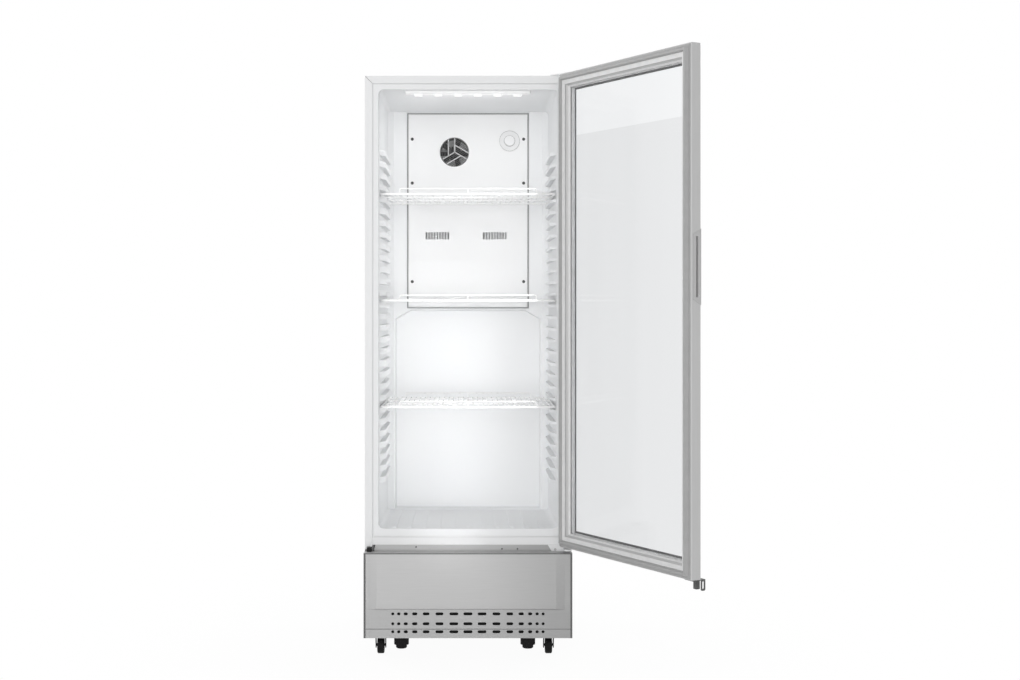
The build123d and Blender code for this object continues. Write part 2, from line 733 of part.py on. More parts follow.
# Wire shelf: outer bar, cross bars, long wires, raised rails front and back
def wire_shelf(label, level):
    side_x = shelf_half_width - shelf_bar_radius
    middle_y = (depth(shelf_front) + depth(shelf_back)) / 2
    length = shelf_back - shelf_front
    wire_level = level + shelf_cross_radius + 0.6 * shelf_wire_radius
    with BuildSketch(Plane.XY.offset(level)) as outline:
        with Locations((0, middle_y)):
            RectangleRounded(2 * side_x, length, 3 * shelf_bar_radius)
    loop = outline.sketch.wires()[0]
    with BuildPart() as shelf:
        with BuildSketch(Plane(loop @ 0, z_dir=loop % 0)):
            Circle(shelf_bar_radius)
        sweep(path=loop)
        for cross in (shelf_front + length / 3, shelf_front + 2 * length / 3):
            with BuildSketch(Plane((-side_x, depth(cross), level), x_dir=(0, 1, 0), z_dir=(1, 0, 0))):
                Circle(shelf_cross_radius)
            extrude(amount=2 * side_x)
        wire_total = int(2 * (side_x - 8) / shelf_wire_pitch) + 1
        with BuildSketch(facing_front(shelf_front)):
            with Locations((0, wire_level)):
                with GridLocations(shelf_wire_pitch, 1, wire_total, 1):
                    RegularPolygon(shelf_wire_radius, 6)
        extrude(amount=-length)
        for d in (shelf_front, shelf_back):
            rail_x = shelf_rail_half_width
            rail_z = level + shelf_rail_height
            with BuildLine(facing_front(d)) as rail:
                FilletPolyline((-rail_x, level), (-rail_x, rail_z), (rail_x, rail_z), (rail_x, level),
                               radius=6)
            with BuildSketch(Plane((-rail_x, depth(d), level), x_dir=(1, 0, 0), z_dir=(0, 0, 1))):
                Circle(shelf_rail_radius)
            sweep(path=rail.wires()[0])
            with BuildSketch(Plane((0, depth(d), level), x_dir=(1, 0, 0), z_dir=(0, 0, 1))):
                Circle(shelf_rail_radius)
            extrude(amount=shelf_rail_height)
    shelf.part.label = label
    export_step(shelf.part, f"parts/{label}.step")


for shelf_label, rib_index in shelf_ribs.items():
    rib_top = rib_z(rib_index) + rib_height / 2
    wire_shelf(shelf_label, rib_top + door_clearance + shelf_bar_radius)

# Door frame: four mitred lengths of one profile, (distance in from the edge, depth)
door_left = -(body_width - hinge_inset)
door_right = hinge_inset
door_height = door_top_z - door_bottom_z
frame_points = (
    (0, door_outer + frame_round),
    (frame_round, door_outer),
    (frame_sight, door_outer),
    (frame_sight, door_outer + frame_lip),
    (frame_face + frame_rebate, door_outer + frame_lip),
    (frame_face + frame_rebate, door_outer + frame_lip + 2 * pane + glass_gap),
    (frame_sight, door_outer + frame_lip + 2 * pane + glass_gap),
    (frame_face, door_inner),
    (frame_round, door_inner),
    (0, door_inner - frame_round),
)
frame_hollow = (
    (frame_wall, door_outer + frame_wall),
    (frame_face - frame_wall, door_outer + frame_wall),
    (frame_face - frame_wall, door_inner - frame_wall),
    (frame_wall, door_inner - frame_wall),
)
gasket_points = (
    (3.0, door_inner),
    (28.0, door_inner),
    (28.0, door_inner + 2.5),
    (22.0, door_inner + 3.0),
    (18.0, door_inner + gasket_height),
    (hinge_inset, door_inner + gasket_height),
    (8.0, door_inner + 3.0),
    (3.0, door_inner + 2.5),
)
# Corner, inward direction and length of each side of the door
door_sides = {
    "door_stile_hinge": ((door_right, 0, door_top_z), (-1, 0, 0), door_height),
    "door_stile_free": ((door_left, 0, door_bottom_z), (1, 0, 0), door_height),
    "door_rail_top": ((door_left, 0, door_top_z), (0, 0, -1), body_width),
    "door_rail_bottom": ((door_right, 0, door_bottom_z), (0, 0, 1), body_width),
}


def mitred_run(points, corner, inward, length, hollow=None):
    """One side of the door: a profile run along the edge and cut at 45 degrees at both ends."""
    section = Plane(corner, x_dir=inward, z_dir=Vector(*inward).cross(Vector(0, 1, 0)))
    along = section.z_dir
    flat = Plane(corner, x_dir=along, z_dir=along.cross(Vector(*inward)))
    reach = max(point[0] for point in points) + 1
    with BuildPart() as run:
        with BuildSketch(on_door(section)):
            with BuildLine():
                Polyline(*points, close=True)
            make_face()
            if hollow:
                with BuildLine():
                    Polyline(*hollow, close=True)
                make_face(mode=Mode.SUBTRACT)
        extrude(amount=length)
        with BuildSketch(on_door(flat.offset(-2 * door_thickness))):
            with BuildLine():
                Polyline((0, 0), (length, 0), (length - reach, reach), (reach, reach), close=True)
            make_face()
        extrude(amount=4 * door_thickness, mode=Mode.INTERSECT)
    return run.part


# Seats in the frame for the grip and for the hinge bushes
bush_neck_radius = 7.0
with BuildPart() as grip_pocket:
    with BuildSketch(on_door(Plane.YZ.offset(door_left - 1))):
        with Locations((door_outer + grip_width / 2 + 0.5, grip_z)):
            Rectangle(grip_width - 6, grip_short - 2)
    extrude(amount=grip_recess + 1)
with BuildPart() as bush_holes:
    for level in (door_bottom_z - 1, door_top_z - frame_wall - 1):
        with BuildSketch(on_door(Plane.XY.offset(level))):
            Circle(bush_neck_radius)
        extrude(amount=frame_wall + 2)
for side_label, (corner, inward, length) in door_sides.items():
    side = mitred_run(frame_points, corner, inward, length, frame_hollow)
    side = side - bush_holes.part
    if side_label == "door_stile_free":
        side = side - grip_pocket.part
    side.label = side_label
    export_step(side, f"parts/{side_label}.step")

gasket_sides = [mitred_run(gasket_points, *side) for side in door_sides.values()]
with BuildPart() as door_gasket:
    add(gasket_sides)
door_gasket.part.label = "door_gasket"
export_step(door_gasket.part, "parts/door_gasket.step")

# Insulated glass: two panes on a spacer frame
glass_edge = frame_face + 2.0
glass_width = body_width - 2 * glass_edge
glass_height = door_height - 2 * glass_edge
door_middle_x = (door_left + door_right) / 2
door_middle_z = (door_top_z + door_bottom_z) / 2
outer_pane_y = door_outer + frame_lip
inner_pane_y = outer_pane_y + pane + glass_gap
for pane_label, pane_y in (("door_glass_outer", outer_pane_y), ("door_glass_inner", inner_pane_y)):
    with BuildPart() as glass:
        with BuildSketch(on_door(Plane.XZ.offset(-pane_y))):
            with Locations((door_middle_x, door_middle_z)):
                Rectangle(glass_width, glass_height)
        extrude(amount=-pane)
    glass.part.label = pane_label
    export_step(glass.part, f"parts/{pane_label}.step")
with BuildPart() as glass_spacer:
    with BuildSketch(on_door(Plane.XZ.offset(-(outer_pane_y + pane)))):
        with Locations((door_middle_x, door_middle_z)):
            Rectangle(glass_width - 4, glass_height - 4)
            Rectangle(glass_width - 4 - 2 * spacer_width, glass_height - 4 - 2 * spacer_width,
                      mode=Mode.SUBTRACT)
    extrude(amount=-glass_gap)
glass_spacer.part.label = "glass_spacer"
export_step(glass_spacer.part, "parts/glass_spacer.step")

# Edge grip: flared plate on the free edge with a finger slot
grip_front = door_outer + 0.2
grip_back = grip_front + grip_width
with BuildPart() as door_handle:
    with BuildSketch(on_door(Plane.YZ.offset(door_left - grip_proud))):
        with BuildLine():
            Polyline(
                (grip_front, grip_z - grip_long / 2),
                (grip_back, grip_z - grip_short / 2),
                (grip_back, grip_z + grip_short / 2),
                (grip_front, grip_z + grip_long / 2),
                close=True,
            )
        make_face()
    extrude(amount=grip_proud)
    with BuildSketch(on_door(Plane.YZ.offset(door_left))):
        with Locations((door_outer + grip_width / 2 + 0.5, grip_z)):
            Rectangle(grip_width - 6.4, grip_short - 2.4)
    extrude(amount=grip_recess)
    with BuildSketch(on_door(Plane.YZ.offset(door_left - grip_proud))):
        with Locations((door_outer + grip_width / 2, grip_z)):
            SlotOverall(slot_length, slot_width, rotation=90)
    extrude(amount=grip_recess - 1.5, mode=Mode.SUBTRACT)
door_handle.part.label = "door_handle"
export_step(door_handle.part, "parts/door_handle.step")

# Padlock hasp under the free corner: foot under the rail, an ear with a long eye, a stop block
hasp_front = door_outer - 1.0 - hasp_reach
hasp_eye_z = door_bottom_z - hasp_drop / 2
with BuildPart() as door_hasp:
    with BuildSketch(on_door(Plane.XY.offset(door_bottom_z - hasp_sheet))):
        with BuildLine():
            Polyline(
                (door_left, hasp_front),
                (door_left + hasp_pitch + 8, hasp_front),
                (door_left + hasp_pitch + 8, door_inner - 6),
                (door_left, door_inner - 6),
                close=True,
            )
        make_face()
    extrude(amount=hasp_sheet)
    with BuildSketch(on_door(Plane.YZ.offset(door_left))):
        with Locations((hasp_front + hasp_reach / 2, hasp_eye_z)):
            RectangleRounded(hasp_reach, hasp_drop, 4)
            SlotOverall(hasp_eye_length, hasp_eye_width, rotation=90, mode=Mode.SUBTRACT)
    extrude(amount=hasp_sheet)
    with BuildSketch(on_door(Plane.YZ.offset(door_left + hasp_pitch - 4))):
        with Locations((hasp_front + hasp_reach / 2, hasp_eye_z)):
            RectangleRounded(hasp_reach, hasp_drop, 2)
    extrude(amount=hasp_block)
door_hasp.part.label = "door_hasp"
export_step(door_hasp.part, "parts/door_hasp.step")

# Door bushes: blocks inside the hollow frame with a bore for the hinge pins
ear_bottom_z = cabinet_bottom_z - 12.0
ear_thickness = 4.0
washer_height = cabinet_bottom_z - ear_bottom_z - ear_thickness - door_clearance
bush_fit = 0.2
bush_height = 20.0
bush_x = (hinge_inset - frame_face + frame_wall + 2.6, hinge_inset - frame_wall - bush_fit)
bush_y = (door_outer + frame_wall + bush_fit, door_inner - frame_wall - bush_fit)
with BuildPart() as door_bushes:
    for floor, up in ((door_bottom_z, 1), (door_top_z, -1)):
        inside = Plane.XY.offset(floor + up * frame_wall)
        with BuildSketch(on_door(inside)):
            with Locations(((bush_x[0] + bush_x[1]) / 2, (bush_y[0] + bush_y[1]) / 2)):
                Rectangle(bush_x[1] - bush_x[0], bush_y[1] - bush_y[0])
        extrude(amount=up * bush_height)
        with BuildSketch(on_door(Plane.XY.offset(floor))):
            Circle(bush_neck_radius)
        extrude(amount=up * frame_wall)
    with BuildSketch(on_door(Plane.XY.offset(door_bottom_z))):
        Circle(bush_neck_radius + 3)
    extrude(amount=-washer_height)
    with BuildSketch(on_door(Plane.XY.offset(door_bottom_z - washer_height))):
        Circle(pin_radius + pin_clearance)
    extrude(amount=door_height + 2 * washer_height, mode=Mode.SUBTRACT)
door_bushes.part.label = "door_bushes"
export_step(door_bushes.part, "parts/door_bushes.step")

# Lower hinge bracket: folded plate with a rounded ear under the door
ear_width = 24.8
bracket_plate = 3.0
bracket_left_x = half_width - 68.0
bracket_right_x = half_width - 2.0
bracket_bottom_z = cabinet_bottom_z - 26.0
bracket_slant = 16.0
with BuildPart() as lower_hinge_bracket:
    with BuildSketch(facing_front(0)):
        with BuildLine():
            Polyline(
                (bracket_left_x + bracket_slant, bracket_bottom_z),
                (bracket_right_x, bracket_bottom_z),
                (bracket_right_x, cabinet_bottom_z - door_clearance),
                (bracket_left_x, cabinet_bottom_z - door_clearance),
                close=True,
            )
        make_face()
    extrude(amount=bracket_plate)
    with BuildSketch(Plane.XY.offset(ear_bottom_z)):
        with Locations((hinge_x, hinge_y)):
            Circle(ear_width / 2)
        with Locations((hinge_x, (hinge_y + front_y) / 2)):
            Rectangle(ear_width, hinge_depth)
    extrude(amount=ear_thickness)
    with BuildSketch(Plane.XY.offset(ear_bottom_z)):
        with Locations((hinge_x, hinge_y)):
            Circle(pin_radius)
    extrude(amount=ear_thickness, mode=Mode.SUBTRACT)
lower_hinge_bracket.part.label = "lower_hinge_bracket"
export_step(lower_hinge_bracket.part, "parts/lower_hinge_bracket.step")

# Upper hinge bracket: plate on the cabinet's top
top_plate = 3.0
top_plate_left_x = half_width - 60.0
top_plate_back = 60.0
with BuildPart() as upper_hinge_bracket:
    with BuildSketch(Plane.XY.offset(top_z)):
        with BuildLine():
            Polyline(
                (top_plate_left_x, depth(top_plate_back)),
                (half_width - sheet, depth(top_plate_back)),
                (half_width - sheet, depth(0)),
                (hinge_x + ear_width / 2, hinge_y),
                (hinge_x - ear_width / 2, hinge_y),
                (top_plate_left_x, depth(0)),
                close=True,
            )
        make_face()
        with Locations((hinge_x, hinge_y)):
            Circle(ear_width / 2)
            Circle(pin_radius, mode=Mode.SUBTRACT)
    extrude(amount=top_plate)
upper_hinge_bracket.part.label = "upper_hinge_bracket"
export_step(upper_hinge_bracket.part, "parts/upper_hinge_bracket.step")

# Hinge pins, pressed into both brackets
pin_reach = 25.0
with BuildPart() as hinge_pins:
    for foot_z, length in ((ear_bottom_z, ear_thickness + pin_reach),
                           (top_z + top_plate - pin_reach, pin_reach)):
        with BuildSketch(Plane.XY.offset(foot_z)):
            with Locations((hinge_x, hinge_y)):
                Circle(pin_radius)
        extrude(amount=length)
hinge_pins.part.label = "hinge_pins"
export_step(hinge_pins.part, "parts/hinge_pins.step")

# Screw heads on the brackets
screw_radius = 4.0
screw_height = 1.2
top_screws = ((half_width - 48.0, 48.0), (half_width - 14.0, 48.0), (half_width - 30.0, 14.0))
with BuildPart() as hinge_screws:
    with BuildSketch(facing_front(-bracket_plate)):
        with Locations((half_width - 46.6, cabinet_bottom_z - 13.6)):
            Circle(screw_radius)
    extrude(amount=screw_height, taper=20)
    with BuildSketch(Plane.XY.offset(top_z + top_plate)):
        for x, d in top_screws:
            with Locations((x, depth(d))):
                Circle(screw_radius)
    extrude(amount=screw_height, taper=20)
hinge_screws.part.label = "hinge_screws"
export_step(hinge_screws.part, "parts/hinge_screws.step")

# Lock strike: lug on the left flange with an eye for the padlock
strike_x = (-half_width + 7.0, -half_width + 21.0)
strike_z = (cabinet_bottom_z - 17.0, cabinet_bottom_z - 5.3)
strike_reach = 24.0
strike_eye = 4.0
with BuildPart() as lock_strike:
    block(*strike_x, depth(-strike_reach), depth(0), *strike_z)
    fillet(lock_strike.edges().filter_by(Axis.X).group_by(Axis.Y)[0], 4.0)
    with BuildSketch(side_plane(strike_x[0])):
        with Locations((depth(-strike_reach + 8), (strike_z[0] + strike_z[1]) / 2)):
            Circle(strike_eye)
    extrude(amount=strike_x[1] - strike_x[0], mode=Mode.SUBTRACT)
lock_strike.part.label = "lock_strike"
export_step(lock_strike.part, "parts/lock_strike.step")

# Front cross bar under the cabin, with a slanted end and tabs down to the sides
bar_left_x = -half_width + 31.0
bar_right_x = half_width - 14.0
bar_bottom_z = cabinet_bottom_z - 26.0
bar_sheet = 1.5
bar_depth = 24.0
bar_slant = 7.0
bar_hole_radius = 1.6
bar_holes = ((-151.0, 7.0), (99.0, 12.5), (144.0, 12.5))
tab_bottom_z = cabinet_bottom_z - 46.0
with BuildPart() as front_cross_bar:
    with BuildSketch(facing_front(sheet)):
        with BuildLine():
            Polyline(
                (bar_left_x - bar_slant, bar_bottom_z),
                (bar_right_x, bar_bottom_z),
                (bar_right_x, cabinet_bottom_z),
                (bar_left_x, cabinet_bottom_z),
                close=True,
            )
        make_face()
        with Locations((0, (tab_bottom_z + bar_bottom_z) / 2)):
            Rectangle(body_width - 2 * sheet, bar_bottom_z - tab_bottom_z)
    extrude(amount=-bar_sheet)
    block(bar_left_x, bar_right_x, depth(sheet), depth(sheet + bar_depth),
          cabinet_bottom_z - bar_sheet, cabinet_bottom_z)
    for x, drop in bar_holes:
        with BuildSketch(facing_front(sheet)):
            with Locations((x, cabinet_bottom_z - drop)):
                Circle(bar_hole_radius)
        extrude(amount=-bar_sheet, mode=Mode.SUBTRACT)
front_cross_bar.part.label = "front_cross_bar"
export_step(front_cross_bar.part, "parts/front_cross_bar.step")

# Kick plate: folded box with a pressed, raised panel and three graded rows of vents
def raised_panel(shift):
    """Panel that leans out towards its foot, with slanted sides, moved back by shift."""
    face_d = -kick_front + shift
    foot_y = depth(face_d - panel_raise_foot)
    top_y = depth(face_d - panel_raise_top)
    lean = Vector(0, top_y - foot_y, kick_top_z - panel_bottom_z)
    front = Plane((0, foot_y, panel_bottom_z), x_dir=(1, 0, 0), z_dir=Vector(1, 0, 0).cross(lean))
    with BuildPart() as panel:
        with BuildSketch(facing_front(face_d)):
            with BuildLine():
                Polyline(
                    (panel_left_x - panel_bevel, panel_bottom_z - panel_foot_bevel),
                    (panel_right_x + panel_bevel, panel_bottom_z - panel_foot_bevel),
                    (panel_right_x + panel_bevel, kick_top_z),
                    (panel_left_x - panel_bevel, kick_top_z),
                    close=True,
                )
            make_face()
        with BuildSketch(front):
            with BuildLine():
                Polyline(
                    (panel_left_x, 0),
                    (panel_right_x, 0),
                    (panel_right_x, lean.length),
                    (panel_left_x, lean.length),
                    close=True,
                )
            make_face()
        loft(ruled=True)
    return panel.part


panel_outside = raised_panel(0)
panel_inside = raised_panel(kick_sheet)
with BuildPart() as kick_cavity:
    block(-half_width + kick_sheet, half_width - kick_sheet, depth(-kick_front + kick_sheet), depth(1),
          kick_bottom_z + kick_sheet, kick_top_z - kick_sheet)
    add(panel_inside)
    block(-half_width, half_width, depth(-2 * kick_front), depth(1),
          kick_top_z - kick_sheet, kick_top_z + kick_sheet, mode=Mode.SUBTRACT)
with BuildPart() as kick_plate:
    block(-half_width, half_width, depth(-kick_front), depth(0), kick_bottom_z, kick_top_z)
    add(panel_outside)
    add(kick_cavity.part, mode=Mode.SUBTRACT)
    block(-half_width + kick_sheet, half_width - kick_sheet, depth(-kick_return), depth(1),
          kick_bottom_z - 1, kick_top_z + 1, mode=Mode.SUBTRACT)
    with BuildSketch(facing_front(-kick_front)):
        vent_x = 0.0
        for i in range(vent_columns_each_side + 1):
            share = i / vent_columns_each_side
            with Locations(*[(side * vent_x, level) for side in (-1, 1) for level in vent_row_levels]):
                SlotOverall(graded(vent_long, vent_short, share), vent_row_height)
            fall = (share - vent_pitch_start) / vent_pitch_fall
            vent_x += graded(vent_wide_pitch, vent_close_pitch, fall)
    extrude(amount=-kick_sheet, mode=Mode.SUBTRACT)
    block(-half_width, half_width, depth(-kick_front), depth(-kick_front + crease_depth),
          crease_z - crease_width / 2, crease_z + crease_width / 2, mode=Mode.SUBTRACT)
kick_plate.part.label = "kick_plate"
export_step(kick_plate.part, "parts/kick_plate.step")

# Dark edge trim along the kick plate's top and down both of its sides
trim_top = 3.0
trim_face = 5.0
trim_side = 24.0
trim_thickness = 0.6
with BuildPart() as kick_plate_trims:
    for side in (-1, 1):
        outer = side * (half_width + trim_thickness)
        inner = side * (half_width - trim_face)
        edge = side * half_width
        front = depth(-kick_front - trim_thickness)
        block(min(inner, outer), max(inner, outer), front, depth(-kick_front), kick_bottom_z, kick_top_z)
        block(min(edge, outer), max(edge, outer), front, front + trim_side, kick_bottom_z, kick_top_z)
    block(-half_width, half_width, front, depth(-kick_front), kick_top_z - trim_top, kick_top_z)
    add(kick_plate.part, mode=Mode.SUBTRACT)
kick_plate_trims.part.label = "kick_plate_trims"
export_step(kick_plate_trims.part, "parts/kick_plate_trims.step")

# Base tray: floor of the machine compartment with its edges folded up
tray_sheet = 2.0
tray_half_width = half_width - sheet
tray_front = 2.0
tray_back = body_depth - sheet
foot_places = [(caster_row_x + side * foot_half_pitch, depth(foot_depth)) for side in (-1, 1)]
nut_radius = 9.0
nut_height = 12.0
foot_clearance = 0.35
with BuildPart() as base_tray:
    block(-tray_half_width, tray_half_width, depth(tray_front), depth(tray_back),
          tray_z, tray_z + tray_flange)
    block(-tray_half_width + tray_sheet, tray_half_width - tray_sheet, depth(tray_front + tray_sheet),
          depth(tray_back - tray_sheet), tray_z + tray_sheet, tray_z + tray_flange + 1, mode=Mode.SUBTRACT)
    with BuildSketch(Plane.XY.offset(tray_z)):
        with Locations(*foot_places):
            RegularPolygon(nut_radius, 6)
    extrude(amount=nut_height)
    with BuildSketch(Plane.XY.offset(tray_z)):
        with Locations(*foot_places):
            Circle(stem_radius + foot_clearance)
    extrude(amount=nut_height, mode=Mode.SUBTRACT)
    with BuildSketch(Plane.XY.offset(tray_z)):
        with Locations((-half_width / 3, depth(body_depth / 2))):
            with GridLocations(60, 26, 4, 4):
                SlotOverall(44, 8)
    extrude(amount=tray_sheet, mode=Mode.SUBTRACT)
base_tray.part.label = "base_tray"
export_step(base_tray.part, "parts/base_tray.step")

# Levelling feet: pad, collar and threaded stem, wound up off the floor
collar_bottom_z = 33.0
collar_top_z = 60.0
foot_stem_top_z = 98.0
for foot_label, place in zip(("levelling_foot_left", "levelling_foot_right"), foot_places):
    with BuildPart() as foot:
        with BuildSketch(Plane.XY.offset(foot_raised)):
            with Locations(place):
                Circle(foot_pad_radius)
        extrude(amount=collar_bottom_z - foot_raised)
        chamfer(foot.faces().sort_by(Axis.Z)[0].edges(), 2.0)
        with BuildSketch(Plane.XY.offset(collar_bottom_z)):
            with Locations(place):
                Circle(foot_collar_radius)
        extrude(amount=collar_top_z - collar_bottom_z)
        chamfer(foot.faces().sort_by(Axis.Z)[-1].edges(), 3.0)
        with BuildSketch(Plane.XY.offset(collar_top_z)):
            with Locations(place):
                Circle(stem_radius)
        extrude(amount=foot_stem_top_z - collar_top_z)
    foot.part.label = foot_label
    export_step(foot.part, f"parts/{foot_label}.step")

# Casters: plates under the tray, forks and wheels; the front pair swivels
plate_size = 55.0
plate_bottom_z = tray_z - caster_plate
fork_gap = 0.3
crown_thickness = 4.7
crown_radius = 17.0
boss_radius = 9.0
tread_chamfer = 2.5
tyre_depth = 7.0
hub_radius = 8.0
hub_dish = 4.0
caster_x = {"left": caster_row_x - caster_half_pitch, "right": caster_row_x + caster_half_pitch}
with BuildPart() as caster_plates:
    for d in (front_caster_depth, rear_caster_depth):
        with BuildSketch(Plane.XY.offset(plate_bottom_z)):
            with Locations(*[(x, depth(d)) for x in caster_x.values()]):
                RectangleRounded(plate_size, plate_size, 5)
                if d == front_caster_depth:
                    Circle(stem_radius + axle_clearance, mode=Mode.SUBTRACT)
        extrude(amount=caster_plate)
caster_plates.part.label = "caster_plates"
export_step(caster_plates.part, "parts/caster_plates.step")


def caster_fork(x, swivel_d, trail, crown_top_z):
    """Crown with two cheeks and an axle, the axle lying trail behind the crown's centre."""
    crown_bottom_z = plate_bottom_z - fork_gap - crown_thickness
    axle_d = swivel_d + trail
    with BuildPart() as fork:
        with BuildSketch(Plane.XY.offset(crown_bottom_z)):
            with Locations((x, depth(swivel_d))):
                Circle(crown_radius)
        extrude(amount=crown_top_z - crown_bottom_z)
        for side in (-1, 1):
            inner = x + side * (caster_fork_width / 2 - caster_cheek)
            with BuildSketch(side_plane(inner)):
                with BuildLine():
                    Polyline(
                        (depth(swivel_d) - 0.4 * crown_radius, crown_bottom_z + caster_cheek),
                        (depth(swivel_d) + 0.8 * crown_radius, crown_bottom_z + caster_cheek),
                        (depth(axle_d) + boss_radius, wheel_radius),
                        (depth(axle_d) - boss_radius, wheel_radius),
                        close=True,
                    )
                make_face()
                with Locations((depth(axle_d), wheel_radius)):
                    Circle(boss_radius)
            extrude(amount=side * caster_cheek)
        with BuildSketch(side_plane(x - caster_fork_width / 2)):
            with Locations((depth(axle_d), wheel_radius)):
                Circle(axle_radius)
        extrude(amount=caster_fork_width)
    return fork.part


def caster_wheel(x, axle_d):
    """Wheel with a rounded tread, a dished hub and a bore for the axle."""
    with BuildPart() as wheel:
        with BuildSketch(side_plane(x - wheel_width / 2)):
            with Locations((depth(axle_d), wheel_radius)):
                Circle(wheel_radius)
        extrude(amount=wheel_width)
        chamfer(wheel.edges().filter_by(GeomType.CIRCLE), tread_chamfer)
        for side in (-1, 1):
            with BuildSketch(side_plane(x + side * wheel_width / 2)):
                with Locations((depth(axle_d), wheel_radius)):
                    Circle(wheel_radius - tyre_depth)
                    Circle(hub_radius, mode=Mode.SUBTRACT)
            extrude(amount=-side * hub_dish, mode=Mode.SUBTRACT)
        with BuildSketch(side_plane(x - wheel_width / 2)):
            with Locations((depth(axle_d), wheel_radius)):
                Circle(axle_radius + axle_clearance)
        extrude(amount=wheel_width, mode=Mode.SUBTRACT)
    return wheel.part


for name, x in caster_x.items():
    fork = caster_fork(x, front_caster_depth, caster_trail, plate_bottom_z - fork_gap)
    with BuildPart() as swivel_fork:
        add(fork)
        with BuildSketch(Plane.XY.offset(plate_bottom_z - fork_gap)):
            with Locations((x, depth(front_caster_depth))):
                Circle(stem_radius)
        extrude(amount=caster_plate + fork_gap - 0.2)
    swivel_fork.part.label = f"caster_fork_front_{name}"
    export_step(swivel_fork.part, f"parts/caster_fork_front_{name}.step")
    for end, axle_d in (("front", front_caster_depth + caster_trail), ("rear", rear_caster_depth)):
        wheel = caster_wheel(x, axle_d)
        wheel.label = f"caster_wheel_{end}_{name}"
        export_step(wheel, f"parts/caster_wheel_{end}_{name}.step")
with BuildPart() as rear_caster_forks:
    for x in caster_x.values():
        add(caster_fork(x, rear_caster_depth, 0, plate_bottom_z))
rear_caster_forks.part.label = "rear_caster_forks"
export_step(rear_caster_forks.part, "parts/rear_caster_forks.step")

# Compressor: domed can on a foot plate
can_x = 0.4 * half_width
can_depth = body_depth - 150.0
can_radius = 75.0
can_wall = 9.0
can_top_z = cabinet_bottom_z - 64.0
grommet_height = 16.0
foot_plate_z = tray_z + tray_sheet + grommet_height
foot_plate = 4.0
mount_half_x = 85.0
mount_half_y = 50.0
can_mounts = [(can_x + i * mount_half_x, depth(can_depth) + j * mount_half_y)
              for i in (-1, 1) for j in (-1, 1)]
with BuildPart() as compressor:
    with BuildSketch(Plane.XY.offset(foot_plate_z)):
        with Locations((can_x, depth(can_depth))):
            RectangleRounded(2 * mount_half_x + 30, 2 * mount_half_y + 30, 12)
        with Locations(*can_mounts):
            Circle(5.0, mode=Mode.SUBTRACT)
    extrude(amount=foot_plate)
    with BuildSketch(Plane.XY.offset(foot_plate_z)):
        with Locations((can_x, depth(can_depth))):
            Circle(can_radius)
    extrude(amount=can_top_z - foot_plate_z)
    fillet(compressor.faces().sort_by(Axis.Z)[-1].edges(), 35)
    with BuildSketch(Plane.XY.offset(foot_plate_z + can_wall)):
        with Locations((can_x, depth(can_depth))):
            Circle(can_radius - can_wall)
    extrude(amount=can_top_z - foot_plate_z - 4 * can_wall, mode=Mode.SUBTRACT)
    with BuildSketch(Plane.XY.offset((foot_plate_z + can_top_z) / 2 + 8)):
        with Locations((can_x, depth(can_depth))):
            Circle(can_radius + 2.5)
    extrude(amount=5)
compressor.part.label = "compressor"
export_step(compressor.part, "parts/compressor.step")

with BuildPart() as compressor_grommets:
    with BuildSketch(Plane.XY.offset(tray_z + tray_sheet)):
        with Locations(*can_mounts):
            Circle(11.0)
    extrude(amount=grommet_height)
    with BuildSketch(Plane.XY.offset(foot_plate_z)):
        with Locations(*can_mounts):
            Circle(4.8)
    extrude(amount=foot_plate + 3)
compressor_grommets.part.label = "compressor_grommets"
export_step(compressor_grommets.part, "parts/compressor_grommets.step")

with BuildPart() as terminal_box:
    block(can_x + can_radius - 15, can_x + can_radius + 26, depth(can_depth - 30), depth(can_depth + 30),
          foot_plate_z + 20, foot_plate_z + 75)
    with BuildSketch(Plane.XY.offset(foot_plate_z)):
        with Locations((can_x, depth(can_depth))):
            Circle(can_radius)
    extrude(amount=can_top_z - foot_plate_z, mode=Mode.SUBTRACT)
terminal_box.part.label = "terminal_box"
export_step(terminal_box.part, "parts/terminal_box.step")

# Condenser with its fan
condenser_x = (-half_width + 70.0, 0.1 * half_width)
condenser_d = (110.0, 170.0)
condenser_z = (tray_z + 20.0, cabinet_bottom_z - 56.0)
condenser_middle_x = (condenser_x[0] + condenser_x[1]) / 2
condenser_middle_z = (condenser_z[0] + condenser_z[1]) / 2
condenser = finned_coil(*condenser_x, *condenser_d, *condenser_z, condenser_d[1], tray_z + tray_sheet)
condenser.label = "condenser"
export_step(condenser, "parts/condenser.step")
motor_front = condenser_d[1] + 36.0
condenser_fan_motor = fan_motor(condenser_middle_x, motor_front, condenser_middle_z, 28.0, 48.0,
                                200.0, tray_z + tray_sheet)
condenser_fan_motor.label = "condenser_fan_motor"
export_step(condenser_fan_motor, "parts/condenser_fan_motor.step")
condenser_fan_rotor = fan_rotor(condenser_middle_x, motor_front - rotor_gap, condenser_middle_z,
                                75.0, 20.0, 5, 18.0)
condenser_fan_rotor.label = "condenser_fan_rotor"
export_step(condenser_fan_rotor, "parts/condenser_fan_rotor.step")

# Filter drier standing beside the condenser
drier_x = half_width - 70.0
drier_d = sum(condenser_d) / 2
drier_z = (tray_z + 60.0, tray_z + 160.0)
drier_radius = 9.0
line_radius = 3.0
with BuildPart() as filter_drier:
    with BuildSketch(Plane.XY.offset(drier_z[0])):
        with Locations((drier_x, depth(drier_d))):
            Circle(drier_radius)
    extrude(amount=drier_z[1] - drier_z[0])
    chamfer(filter_drier.faces().sort_by(Axis.Z)[0].edges(), 10.0, 5.0)
    chamfer(filter_drier.faces().sort_by(Axis.Z)[-1].edges(), 10.0, 5.0)
filter_drier.part.label = "filter_drier"
export_step(filter_drier.part, "parts/filter_drier.step")

